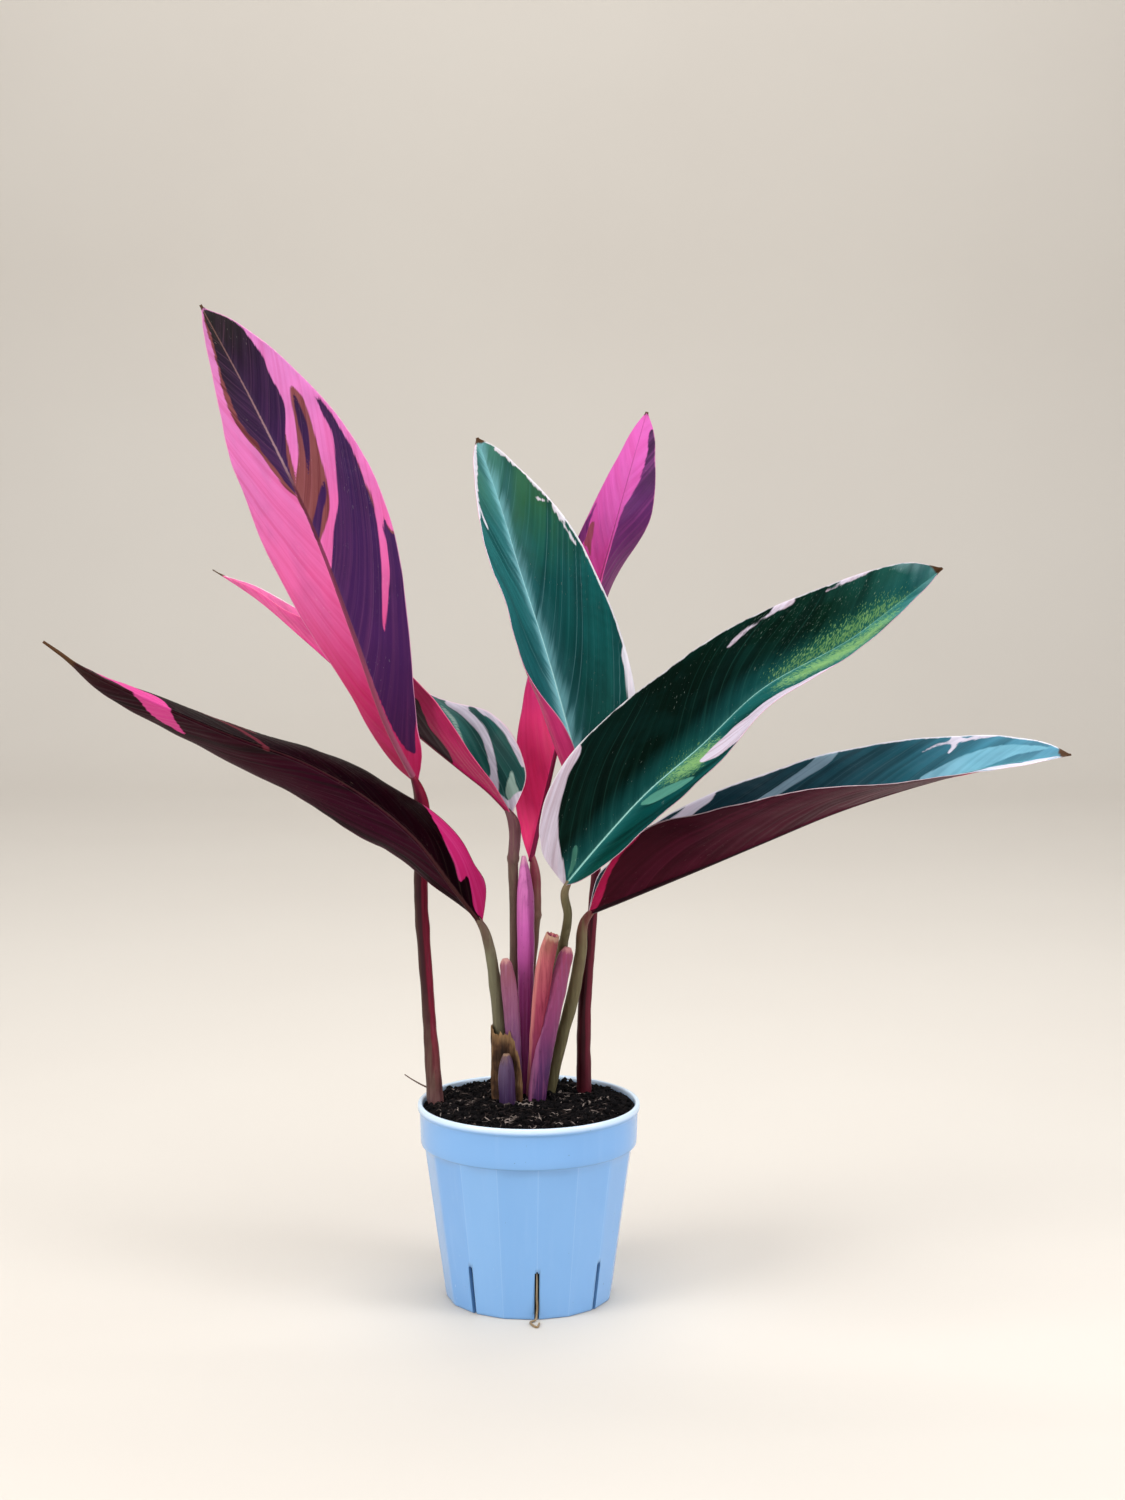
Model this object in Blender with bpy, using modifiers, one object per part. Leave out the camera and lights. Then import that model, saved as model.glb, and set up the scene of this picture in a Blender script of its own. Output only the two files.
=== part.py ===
"""Stromanthe triostar in its nursery pot, in metres, +Z up, +X to the right.

The origin is the middle of the underside of the pot.
"""

import math

import bmesh
import bpy
import numpy as np

MM = 0.001
GAP = 0.0003

# pot
POT_BOTTOM_RADIUS = 0.0397
POT_BODY_TOP_RADIUS = 0.0499
POT_BODY_TOP = 0.0760
POT_RIM_RADIUS = 0.0525
POT_RIM_HEIGHT = 0.0940
POT_FLOOR = 0.0018
POT_RIM_INNER_RADIUS = 0.0502
POT_BAND_INNER_RADIUS = 0.0496
POT_BODY_INNER_RADIUS = 0.0474
POT_FLOOR_RADIUS = 0.0373
POT_FACETS = 16
POT_ROUND_STEPS = 48
POT_TURN = math.radians(5.0)
SLOT_COUNT = 8
SLOT_WIDTH = 0.0022
SLOT_HEIGHT = 0.0240
SLOT_INNER_RADIUS = 0.0300
SLOT_LENGTH = 0.0200

# soil
SOIL_MIDDLE = 0.0956
SOIL_EDGE = 0.0916
SOIL_BOTTOM = 0.0022
SOIL_RADIUS = 0.0493
SOIL_RINGS = 5

# leaves
LEAF_ROWS = 19
LEAF_ACROSS = (-1.0, -0.78, -0.52, -0.26, -0.07, 0.0, 0.07, 0.26, 0.52, 0.78, 1.0)
LEAF_THICKNESS = 0.0007
RIB_THICKNESS = 0.0024
RIB_SPREAD = 0.0022
LEAF_END_HALF_WIDTH = 0.0006


def clear_scene():
    for thing in list(bpy.data.objects):
        bpy.data.objects.remove(thing, do_unlink=True)


def new_collection(name, hidden=False):
    found = bpy.data.collections.new(name)
    bpy.context.scene.collection.children.link(found)
    found.hide_render = hidden
    return found


def new_material(name, colour, roughness, metallic=0.0):
    found = bpy.data.materials.new(name)
    found.use_nodes = True
    shader = found.node_tree.nodes["Principled BSDF"]
    shader.inputs["Base Color"].default_value = (*colour, 1.0)
    shader.inputs["Roughness"].default_value = roughness
    shader.inputs["Metallic"].default_value = metallic
    found.diffuse_color = (*colour, 1.0)
    return found


def smooth(mesh):
    for face in mesh.polygons:
        face.use_smooth = True


def add_object(name, mesh, collection, material=None):
    thing = bpy.data.objects.new(name, mesh)
    collection.objects.link(thing)
    if material:
        mesh.materials.append(material)
    return thing


def turned(name, profile, collection, steps, material=None):
    """A closed body turned about Z from a profile of (radius, height), from the top axis point down."""
    mesh = bpy.data.meshes.new(name)
    mesh.from_pydata([(r, 0.0, z) for r, z in profile], [(i, i + 1) for i in range(len(profile) - 1)], [])
    thing = add_object(name, mesh, collection, material)
    thing.rotation_euler.z = POT_TURN
    screw = thing.modifiers.new("turn", "SCREW")
    screw.axis = "Z"
    screw.angle = math.tau
    screw.steps = steps
    screw.render_steps = steps
    screw.use_merge_vertices = True
    screw.merge_threshold = 0.00001
    return thing


def as_cutter(thing):
    thing.hide_render = True
    thing.display_type = "WIRE"
    return thing


def boolean(thing, other, operation):
    step = thing.modifiers.new(operation.lower(), "BOOLEAN")
    step.operation = operation
    step.solver = "EXACT"
    step.object = other
    return step


def baked(thing):
    """The object's evaluated mesh as plain data, with near points joined."""
    graph = bpy.context.evaluated_depsgraph_get()
    mesh = bpy.data.meshes.new_from_object(thing.evaluated_get(graph))
    shape = bmesh.new()
    shape.from_mesh(mesh)
    bmesh.ops.remove_doubles(shape, verts=shape.verts, dist=0.000005)
    bmesh.ops.recalc_face_normals(shape, faces=shape.faces)
    shape.to_mesh(mesh)
    shape.free()
    return mesh


def make_pot(collection, cutters, material):
    body = turned(
        "pot",
        [
            (0.0, POT_BODY_TOP),
            (POT_BODY_TOP_RADIUS, POT_BODY_TOP),
            (POT_BOTTOM_RADIUS, 0.0008),
            (POT_BOTTOM_RADIUS - 0.0008, 0.0),
            (0.0, 0.0),
        ],
        collection,
        POT_FACETS,
        material,
    )
    band = turned(
        "pot_band_solid",
        [
            (0.0, POT_RIM_HEIGHT),
            (POT_RIM_RADIUS - 0.0011, POT_RIM_HEIGHT),
            (POT_RIM_RADIUS - 0.0004, POT_RIM_HEIGHT - 0.0003),
            (POT_RIM_RADIUS, POT_RIM_HEIGHT - 0.0010),
            (POT_RIM_RADIUS, POT_RIM_HEIGHT - 0.0026),
            (POT_RIM_RADIUS - 0.0004, POT_RIM_HEIGHT - 0.0033),
            (POT_RIM_RADIUS - 0.0009, POT_RIM_HEIGHT - 0.0038),
            (POT_RIM_RADIUS - 0.0015, POT_BODY_TOP - 0.0012),
            (POT_RIM_RADIUS - 0.0020, POT_BODY_TOP - 0.0018),
            (0.0, POT_BODY_TOP - 0.0018),
        ],
        cutters,
        POT_ROUND_STEPS,
    )
    hollow = turned(
        "pot_hollow",
        [
            (0.0, POT_RIM_HEIGHT + 0.0060),
            (POT_RIM_INNER_RADIUS + 0.0003, POT_RIM_HEIGHT + 0.0060),
            (POT_RIM_INNER_RADIUS, POT_RIM_HEIGHT - 0.0010),
            (POT_BAND_INNER_RADIUS, POT_BODY_TOP + 0.0006),
            (POT_BODY_INNER_RADIUS, POT_BODY_TOP - 0.0022),
            (POT_FLOOR_RADIUS, POT_FLOOR),
            (0.0, POT_FLOOR),
        ],
        cutters,
        POT_ROUND_STEPS,
    )
    boolean(body, as_cutter(band), "UNION")
    boolean(body, as_cutter(hollow), "DIFFERENCE")
    for i in range(SLOT_COUNT):
        angle = POT_TURN + i * math.tau / SLOT_COUNT
        mesh = bpy.data.meshes.new(f"slot_{i}")
        shape = bmesh.new()
        bmesh.ops.create_cube(shape, size=1.0)
        shape.to_mesh(mesh)
        shape.free()
        slot = add_object(f"slot_{i}", mesh, cutters)
        middle = SLOT_INNER_RADIUS + SLOT_LENGTH / 2
        slot.scale = (SLOT_LENGTH, SLOT_WIDTH, SLOT_HEIGHT + 0.0020)
        slot.location = (middle * math.cos(angle), middle * math.sin(angle), SLOT_HEIGHT / 2 - 0.0010)
        slot.rotation_euler.z = angle
        boolean(body, as_cutter(slot), "DIFFERENCE")
    return body


def soil_profile():
    """The mounded top as (radius, height), from the middle to the wall."""
    rings = []
    for k in range(SOIL_RINGS + 1):
        part = k / SOIL_RINGS
        rings.append((SOIL_RADIUS * part, SOIL_EDGE + (SOIL_MIDDLE - SOIL_EDGE) * (1 - part**2.2)))
    return rings


def make_soil(collection, material):
    below = [
        (0.0490, POT_BODY_TOP + 0.0002),
        (0.0469, POT_BODY_TOP - 0.0026),
        (0.0369, SOIL_BOTTOM),
        (0.0, SOIL_BOTTOM),
    ]
    return turned("soil", soil_profile() + below, collection, POT_ROUND_STEPS, material)


def rod(name, points, collection, material=None, grow=0.0, sides=2, steps=5):
    """A round rod along (x, y, z, radius) points in millimetres, thicker by grow metres."""
    data = bpy.data.curves.new(name, "CURVE")
    data.dimensions = "3D"
    data.bevel_depth = 1.0
    data.bevel_resolution = sides
    data.resolution_u = steps
    data.use_fill_caps = True
    line = data.splines.new("BEZIER")
    line.bezier_points.add(len(points) - 1)
    for knot, (x, y, z, r) in zip(line.bezier_points, points):
        knot.co = (x * MM, y * MM, z * MM)
        knot.handle_left_type = "AUTO"
        knot.handle_right_type = "AUTO"
        knot.radius = r * MM + grow
    thing = bpy.data.objects.new(name, data)
    collection.objects.link(thing)
    mesh = baked(thing)
    bpy.data.objects.remove(thing)
    smooth(mesh)
    return add_object(name, mesh, collection, material)


def through(stations, at):
    """A smooth curve through stations of (place, value, ...), read at each place in at."""
    rows = np.array(stations, float)
    places = rows[:, 0]
    values = rows[:, 1:]
    width = np.diff(places)[:, None]
    rise = np.diff(values, axis=0) / width
    slope = np.empty_like(values)
    if len(places) == 2:
        slope[:] = rise[0]
    else:
        slope[1:-1] = (rise[:-1] * width[1:] + rise[1:] * width[:-1]) / (width[1:] + width[:-1])
        slope[0] = 1.5 * rise[0] - 0.5 * slope[1]
        slope[-1] = 1.5 * rise[-1] - 0.5 * slope[-2]
    at = np.clip(np.asarray(at, float), places[0], places[-1])
    k = np.clip(np.searchsorted(places, at, side="right") - 1, 0, len(places) - 2)
    step = width[k]
    u = (at - places[k])[:, None] / step
    first = values[k] * (1 + 2 * u) * (1 - u) ** 2 + step * slope[k] * u * (1 - u) ** 2
    second = values[k + 1] * u * u * (3 - 2 * u) + step * slope[k + 1] * u * u * (u - 1)
    return first + second


def along(points, s):
    """Points at even parts s of the length of a smooth line through points."""
    points = np.array(points, float)
    run = np.concatenate([[0.0], np.cumsum(np.linalg.norm(np.diff(points, axis=0), axis=1))])
    fine = through(np.column_stack([run / run[-1], points]), np.linspace(0, 1, 801))
    length = np.concatenate([[0.0], np.cumsum(np.linalg.norm(np.diff(fine, axis=0), axis=1))])
    return np.column_stack([np.interp(s * length[-1], length, fine[:, k]) for k in range(3)])


def unit(rows):
    return rows / np.linalg.norm(rows, axis=1)[:, None]


def leaf_sheet(leaf, s, across):
    """The middle surface of a leaf in metres, as rows along the rib and columns across, and its normals."""
    rib = along(leaf["rib"], s)
    ahead = unit(np.gradient(rib, axis=0))
    face = np.tile(np.array(leaf["face"], float), (len(s), 1))
    face = unit(face - (face * ahead).sum(1)[:, None] * ahead)
    side = np.cross(ahead, face)
    grid = np.zeros((len(s), len(across), 3))
    for j, t in enumerate(across):
        hand = "left" if t < 0 else "right"
        width = np.maximum(through(leaf[hand + "_width"], s)[:, 0], LEAF_END_HALF_WIDTH / MM)
        fold = np.radians(through(leaf[hand + "_fold"], s)[:, 0])
        half_curl = np.radians(through(leaf[hand + "_curl"], s)[:, 0]) * abs(t) / 2
        reach = abs(t) * width * np.sinc(half_curl / math.pi)
        out = math.copysign(1.0, t) * reach * np.cos(fold + half_curl)
        lift = reach * np.sin(fold + half_curl)
        grid[:, j] = rib + side * out[:, None] + face * lift[:, None]
    grid *= MM
    normal = np.cross(np.gradient(grid, axis=0), np.gradient(grid, axis=1))
    normal = normal / np.maximum(np.linalg.norm(normal, axis=2), 1e-12)[..., None]
    if (normal * face[:, None, :]).sum() < 0:
        normal = -normal
    return grid, normal


def make_leaf(name, leaf, collection, material):
    """A leaf blade as one closed sheet, thicker along the rib on its underside."""
    s = np.linspace(0, 1, LEAF_ROWS)
    across = np.array(LEAF_ACROSS)
    grid, normal = leaf_sheet(leaf, s, across)
    middle = grid[:, len(across) // 2]
    far = np.linalg.norm(grid - middle[:, None, :], axis=2)
    rib = RIB_THICKNESS * (1 - 0.85 * s)[:, None] * np.exp(-((far / RIB_SPREAD) ** 2))
    top = grid + normal * LEAF_THICKNESS / 2
    under = grid - normal * (LEAF_THICKNESS / 2 + rib[..., None])
    rows, columns = len(s), len(across)
    shape = bmesh.new()
    upper = [[shape.verts.new(top[i, j]) for j in range(columns)] for i in range(rows)]
    lower = [[shape.verts.new(under[i, j]) for j in range(columns)] for i in range(rows)]
    for i in range(rows - 1):
        for j in range(columns - 1):
            shape.faces.new((upper[i][j], upper[i][j + 1], upper[i + 1][j + 1], upper[i + 1][j]))
            shape.faces.new((lower[i][j], lower[i + 1][j], lower[i + 1][j + 1], lower[i][j + 1]))
    for j in (0, columns - 1):
        for i in range(rows - 1):
            shape.faces.new((upper[i][j], upper[i + 1][j], lower[i + 1][j], lower[i][j]))
    for i in (0, rows - 1):
        for j in range(columns - 1):
            shape.faces.new((upper[i][j], lower[i][j], lower[i][j + 1], upper[i][j + 1]))
    bmesh.ops.recalc_face_normals(shape, faces=shape.faces)
    mesh = bpy.data.meshes.new(name)
    shape.to_mesh(mesh)
    shape.free()
    smooth(mesh)
    return add_object(name, mesh, collection, material)


# Each leaf: rib points from base to tip in millimetres and the way its top faces. For each half, at parts of
# the length: its width in millimetres, its fold up from flat and its further curl to the edge in degrees.
LEAF_A = {
    "rib": [(-52, 8, 244), (-64, 0, 269), (-79, -13, 314), (-95, -29, 362), (-119, -49, 418),
            (-141, -66, 463)],
    "face": (0, 1, 0.15),
    "left_width": [(0, 0), (0.04, 8), (0.1, 13), (0.2, 20), (0.35, 29), (0.5, 35), (0.6, 35.5), (0.7, 32),
                   (0.8, 25), (0.9, 15.5), (0.97, 5.5), (0.985, 2.2), (1, 0)],
    "left_fold": [(0, 15), (1, 15)],
    "left_curl": [(0, 15), (1, 10)],
    "right_width": [(0, 0), (0.04, 6), (0.1, 10), (0.2, 14), (0.3, 22), (0.4, 28), (0.5, 32), (0.6, 31),
                    (0.7, 28), (0.8, 20), (0.9, 11), (0.97, 3.6), (0.985, 1.6), (1, 0)],
    "right_fold": [(0, 25), (1, 25)],
    "right_curl": [(0, 15), (1, 15)],
}
LEAF_B = {
    "rib": [(-22, -2, 179), (-35, -14, 199), (-52, -27, 224), (-75, -36, 245), (-99, -42, 260),
            (-133, -48, 274), (-168, -53, 290), (-193, -58, 303), (-213, -62, 317)],
    "face": (-0.1, 1, -0.15),
    "left_width": [(0, 0), (0.03, 12), (0.1, 18), (0.2, 27), (0.35, 31), (0.5, 32), (0.65, 29), (0.8, 19),
                   (0.88, 10), (0.93, 4), (0.97, 1.8), (1, 0)],
    "left_fold": [(0, 20), (0.1, 20), (0.2, 40), (0.4, 55), (0.5, 60), (0.7, 65), (1, 70)],
    "left_curl": [(0, 20), (0.2, 30), (1, 20)],
    "right_width": [(0, 0), (0.04, 3), (0.1, 13), (0.2, 25), (0.35, 31), (0.5, 32), (0.65, 29), (0.8, 19),
                    (0.88, 10), (0.93, 4), (0.97, 1.8), (1, 0)],
    "right_fold": [(0, 55), (0.1, 55), (0.3, 50), (0.5, 55), (0.7, 62), (0.9, 55), (1, 55)],
    "right_curl": [(0, 15), (1, 20)],
}
LEAF_C = {
    "rib": [(-8, 6, 230), (-17, 10, 239), (-32, 17, 250), (-52, 27, 265), (-80, 40, 286), (-108, 52, 309),
            (-132, 62, 328), (-153, 68, 341)],
    "face": (0.5, 0, 0.85),
    "left_width": [(0, 0), (0.04, 8), (0.1, 15), (0.2, 24), (0.33, 28), (0.5, 28), (0.65, 22), (0.8, 11),
                   (0.9, 6), (0.95, 2.2), (1, 0)],
    "left_fold": [(0, 20), (0.2, 35), (0.33, 45), (0.65, 30), (0.8, 20), (1, 20)],
    "left_curl": [(0, 10), (1, 15)],
    "right_width": [(0, 0), (0.03, 14), (0.07, 22), (0.12, 28), (0.2, 30), (0.33, 29), (0.5, 28),
                    (0.65, 24), (0.8, 13), (0.9, 7), (0.95, 2.4), (1, 0)],
    "right_fold": [(0, 75), (0.2, 70), (0.33, 35), (0.65, 20), (0.8, 25), (1, 30)],
    "right_curl": [(0, 10), (1, 10)],
}
LEAF_D = {
    "rib": [(32, 14, 222), (21, 20, 261), (9, 28, 303), (-4, 34, 343), (-14, 38, 376), (-24, 40, 405)],
    "face": (0, -1, 0.1),
    "left_width": [(0, 0), (0.05, 12), (0.1, 20), (0.2, 31), (0.3, 34), (0.45, 35), (0.6, 33), (0.7, 30),
                   (0.8, 24), (0.9, 14), (0.97, 6), (1, 0)],
    "left_fold": [(0, 30), (0.2, 20), (0.4, 45), (0.6, 60), (0.8, 50), (1, 45)],
    "left_curl": [(0, 100), (0.2, 140), (0.4, 50), (0.6, 20), (0.8, 20), (1, 15)],
    "right_width": [(0, 0), (0.05, 13), (0.1, 20), (0.2, 29), (0.3, 33), (0.45, 36), (0.6, 34), (0.7, 31),
                    (0.8, 24), (0.9, 14), (0.97, 6), (1, 0)],
    "right_fold": [(0, 10), (1, 10)],
    "right_curl": [(0, -10), (1, 0)],
}
LEAF_E = {
    "rib": [(1, 14, 206), (10, 24, 244), (20, 36, 285), (33, 50, 332), (47, 64, 380), (58, 76, 417)],
    "face": (0, 1, -0.2),
    "left_width": [(0, 0), (0.05, 8), (0.1, 14), (0.2, 21), (0.35, 26), (0.5, 27), (0.65, 24), (0.8, 18),
                   (0.9, 11), (0.97, 5), (1, 0)],
    "left_fold": [(0, 85), (0.2, 85), (0.5, 75), (0.7, 55), (0.8, 20), (1, 10)],
    "left_curl": [(0, 10), (1, 20)],
    "right_width": [(0, 0), (0.05, 8), (0.1, 14), (0.2, 21), (0.35, 26), (0.5, 26), (0.65, 22), (0.8, 15),
                    (0.9, 9), (0.97, 4), (1, 0)],
    "right_fold": [(0, 20), (0.5, 25), (1, 25)],
    "right_curl": [(0, 20), (1, 20)],
}
LEAF_F = {
    "rib": [(17, -5, 198), (35, -12, 221), (54, -18, 243), (79, -24, 266), (104, -30, 291),
            (148, -38, 318), (169, -42, 335), (185, -44, 348)],
    "face": (0, -1, 0.1),
    "left_width": [(0, 0), (0.02, 14), (0.05, 23), (0.1, 31), (0.2, 38), (0.3, 39), (0.4, 39), (0.5, 36),
                   (0.6, 32), (0.7, 30), (0.8, 27), (0.9, 19), (0.97, 9), (1, 0)],
    "left_fold": [(0, 15), (1, 15)],
    "left_curl": [(0, -10), (1, 0)],
    "right_width": [(0, 0), (0.04, 12), (0.1, 24), (0.2, 32), (0.3, 36), (0.4, 37), (0.5, 35), (0.6, 32),
                    (0.7, 28), (0.8, 22), (0.9, 14), (0.97, 6), (1, 0)],
    "right_fold": [(0, 70), (0.3, 65), (0.5, 68), (1, 68)],
    "right_curl": [(0, 20), (1, 20)],
}
LEAF_G = {
    "rib": [(28, 4, 183), (47, -2, 192), (82, -10, 208), (110, -16, 221), (141, -22, 235), (172, -26, 246),
            (210, -32, 257), (246, -36, 263)],
    "face": (0, 0, 1),
    "left_width": [(0, 0), (0.03, 15), (0.08, 22), (0.2, 31), (0.3, 33), (0.4, 34), (0.5, 33), (0.6, 30),
                   (0.7, 26), (0.8, 20), (0.9, 13), (0.97, 6), (1, 0)],
    "left_fold": [(0, 50), (0.2, 55), (0.3, 55), (0.4, 50), (0.6, 45), (0.9, 50), (1, 50)],
    "left_curl": [(0, 10), (1, 10)],
    "right_width": [(0, 0), (0.04, 10), (0.1, 21), (0.2, 30), (0.3, 33), (0.4, 34), (0.5, 33), (0.6, 30),
                    (0.7, 26), (0.8, 20), (0.9, 12), (0.97, 6), (1, 0)],
    "right_fold": [(0, 60), (0.2, 62), (0.3, 45), (0.4, 35), (0.5, 27), (0.7, 8), (0.8, 0), (1, 0)],
    "right_curl": [(0, 10), (1, 10)],
}
LEAVES = {
    "leaf_a": (LEAF_A, (0.72, 0.10, 0.28), 0.38),
    "leaf_b": (LEAF_B, (0.09, 0.012, 0.03), 0.42),
    "leaf_c": (LEAF_C, (0.55, 0.10, 0.22), 0.42),
    "leaf_d": (LEAF_D, (0.05, 0.16, 0.15), 0.36),
    "leaf_e": (LEAF_E, (0.66, 0.08, 0.24), 0.40),
    "leaf_f": (LEAF_F, (0.02, 0.10, 0.07), 0.34),
    "leaf_g": (LEAF_G, (0.05, 0.12, 0.13), 0.36),
}

# Stems and sheaths from the root end up, as (x, y, z, radius) in millimetres.
STEMS = {
    "stem_a": ([(-43, 3, 72, 3.6), (-44, 3.4, 88, 3.9), (-47.6, 8, 139, 3.1), (-50.8, 10.6, 190, 3.3),
                (-52, 8.6, 242.6, 2.4)], (0.22, 0.05, 0.08), 0.45),
    "stem_b": ([(-10.4, 4, 76, 2.6), (-10.9, 4, 92, 2.8), (-14.9, 2, 142, 2.9), (-17.4, 0, 162, 2.7),
                (-21.4, -1.8, 177.6, 2.0)], (0.24, 0.19, 0.13), 0.45),
    "stem_c": ([(-6.4, 11, 76, 2.0), (-7, 11, 140, 2.1), (-7, 10, 188, 2.1), (-7.3, 7.5, 212, 2.5),
                (-7.8, 6.4, 228.2, 1.9)], (0.26, 0.13, 0.12), 0.45),
    "stem_d": ([(25.4, 14, 70, 3.5), (26, 14, 84, 3.6), (26.8, 14, 139, 3.1), (29.2, 14.6, 168, 2.6),
                (31.6, 14.6, 197, 2.3), (32.2, 14.2, 220.6, 1.9)], (0.16, 0.03, 0.05), 0.45),
    "stem_e": ([(0.6, 14.5, 78, 1.6), (0.3, 14, 139, 1.8), (2.8, 14.4, 176, 1.9), (3.2, 14.4, 192, 1.9),
                (1.6, 14.2, 204.4, 1.4)], (0.34, 0.07, 0.15), 0.45),
    "stem_f": ([(3.6, 8.4, 76, 1.8), (4.2, 8.4, 92, 1.9), (7.6, 7.8, 120, 1.9), (11.2, 6, 142, 2.0),
                (14.2, 4.2, 160, 2.1), (17.2, -0.6, 174, 2.1), (18.4, -4, 184, 2.1),
                (17.1, -5.2, 195.8, 1.6)],
               (0.27, 0.17, 0.14), 0.45),
    "stem_g": ([(9, 9.5, 76, 2.4), (9.4, 9.3, 90, 2.5), (15.2, 8.4, 120, 2.7), (20.5, 7, 141, 2.9),
                (24.4, 5.6, 162, 2.8), (27, 4.5, 180.4, 2.0)], (0.25, 0.21, 0.12), 0.45),
}
SHEATHS = {
    "sheath_b": ([(-5.6, -0.6, 80, 2.4), (-6.1, -1, 95, 2.6), (-7, -3, 124, 2.9), (-8.4, -4, 143, 3.4),
                  (-10, -5, 157, 2.8), (-11, -5.2, 163.5, 0.9)], (0.36, 0.13, 0.20), 0.5),
    "sheath_e": ([(-2.5, 5, 78, 1.8), (-2.3, 5, 94, 1.9), (-1.9, 5, 112, 2.4), (-1.3, 5, 141, 3.1),
                  (-1.2, 5, 180, 3.1), (-1.6, 5.6, 202, 2.4),
                  (-2, 6, 210, 0.8)], (0.42, 0.12, 0.25), 0.45),
    "sheath_f": ([(0.6, -4.2, 84, 1.6), (0.8, -4.2, 95, 1.8), (3.1, -5.2, 117, 2.9), (5.8, -6.4, 143, 3.8),
                  (7.9, -7, 161, 4.0), (10.6, -7.4, 172, 2.6),
                  (12, -7.6, 176.4, 0.9)], (0.66, 0.24, 0.25), 0.5),
    "sheath_g": ([(4.2, 1.2, 80, 2.8), (4.4, 1.2, 95, 2.9), (7.4, 0.6, 119, 3.1), (12.6, -1.4, 143, 3.6),
                  (16, -2.8, 159, 3.1), (18.6, -3.6, 168, 1.4)], (0.44, 0.15, 0.24), 0.5),
    "sheath_stub": ([(-7.6, -7.4, 84, 2.5), (-7.8, -7.6, 96, 2.7), (-8.4, -7.6, 108, 2.5),
                     (-8.2, -7.2, 116.5, 1.2)],
                    (0.20, 0.10, 0.16), 0.55),
}
ROOTS = {
    "drain_root": ([(3.6, -41.5, 23, 0.4), (3.57, -41.0, 12, 0.45), (3.55, -40.8, 4, 0.5),
                    (2.9, -42.1, 1.0, 0.5), (0.9, -43.3, 0.7, 0.5), (1.5, -47.6, 0.6, 0.5),
                    (3.3, -50.4, 0.6, 0.5), (4.6, -45, 0.6, 0.4)],
                   (0.42, 0.22, 0.09), 0.6),
    "rim_root": ([(-40.6, 10.4, 83.5, 0.45), (-43.2, 12.4, 91, 0.45), (-47, 15.4, 95.6, 0.42),
                  (-51.6, 18, 97.4, 0.4), (-56, 20, 99.4, 0.35),
                  (-59.6, 21, 101.6, 0.3)], (0.36, 0.21, 0.13), 0.6),
}

# Dead sheath: a papery wrap round the front of stem_b, as (height, x, y, radius) in millimetres.
WRAP_LEVELS = [(86, -11.2, 3.6, 5.6), (98, -11.6, 3.4, 5.2), (110, -12.2, 3.0, 4.9),
               (120, -12.8, 2.7, 4.8), (128, -13.4, 2.4, 5.0)]
WRAP_FROM = math.radians(172)
WRAP_TO = math.radians(292)
WRAP_COLUMNS = 9
WRAP_THICKNESS = 0.0005
WRAP_RAGGED = (0.0, -3.0, 1.0, -5.0, 0.5, -2.0, 2.0, -4.0, -1.0)


def make_wrap(name, collection, material=None, thickness=WRAP_THICKNESS, drop=0.0, spread=0.0):
    shape = bmesh.new()
    grid = []
    for i, (z, x, y, r) in enumerate(WRAP_LEVELS):
        row = []
        for j in range(WRAP_COLUMNS):
            angle = WRAP_FROM - spread + (WRAP_TO - WRAP_FROM + 2 * spread) * j / (WRAP_COLUMNS - 1)
            height = z + (WRAP_RAGGED[j] if i == len(WRAP_LEVELS) - 1 else 0.0)
            height -= drop if i == 0 else 0.0
            across, depth = x + r * math.cos(angle), y + r * math.sin(angle)
            row.append(shape.verts.new((across * MM, depth * MM, height * MM)))
        grid.append(row)
    for i in range(len(grid) - 1):
        for j in range(WRAP_COLUMNS - 1):
            shape.faces.new((grid[i][j], grid[i][j + 1], grid[i + 1][j + 1], grid[i + 1][j]))
    mesh = bpy.data.meshes.new(name)
    shape.to_mesh(mesh)
    shape.free()
    smooth(mesh)
    thing = add_object(name, mesh, collection, material)
    wall = thing.modifiers.new("wall", "SOLIDIFY")
    wall.thickness = thickness
    wall.offset = 0.0
    return thing


def main():
    clear_scene()
    model = new_collection("stromanthe_triostar")
    cutters = new_collection("cutters", hidden=True)

    make_pot(model, cutters, new_material("pot_plastic", (0.22, 0.44, 0.78), 0.28))
    soil = make_soil(model, new_material("soil_peat", (0.035, 0.024, 0.018), 0.9))

    for name, (points, colour, roughness) in {**STEMS, **SHEATHS}.items():
        rod(name, points, model, new_material(name + "_skin", colour, roughness))
        x, y, z, r = points[0]
        socket = rod(name + "_socket", [(x, y, z - 0.4, r), *points[1:3]], cutters, grow=GAP)
        boolean(soil, as_cutter(socket), "DIFFERENCE")

    make_wrap("dry_sheath", model, new_material("dry_sheath_paper", (0.20, 0.10, 0.06), 0.8))
    seat_thickness = WRAP_THICKNESS + 2 * GAP
    seat = make_wrap("dry_sheath_socket", cutters, thickness=seat_thickness, drop=0.4, spread=0.06)
    boolean(soil, as_cutter(seat), "DIFFERENCE")

    for name, (points, colour, roughness) in ROOTS.items():
        rod(name, points, model, new_material(name + "_skin", colour, roughness), sides=1, steps=3)
    x, y, z, r = ROOTS["rim_root"][0][0]
    near = ROOTS["rim_root"][0][1:3]
    socket = rod("rim_root_socket", [(x, y, z - 0.4, r), *near], cutters, grow=GAP, sides=1)
    boolean(soil, as_cutter(socket), "DIFFERENCE")

    for name, (leaf, colour, roughness) in LEAVES.items():
        make_leaf(name, leaf, model, new_material(name + "_blade", colour, roughness))


main()
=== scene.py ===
import math

import bmesh
import bpy
import numpy as np
from mathutils import Matrix, Vector, noise


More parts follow.
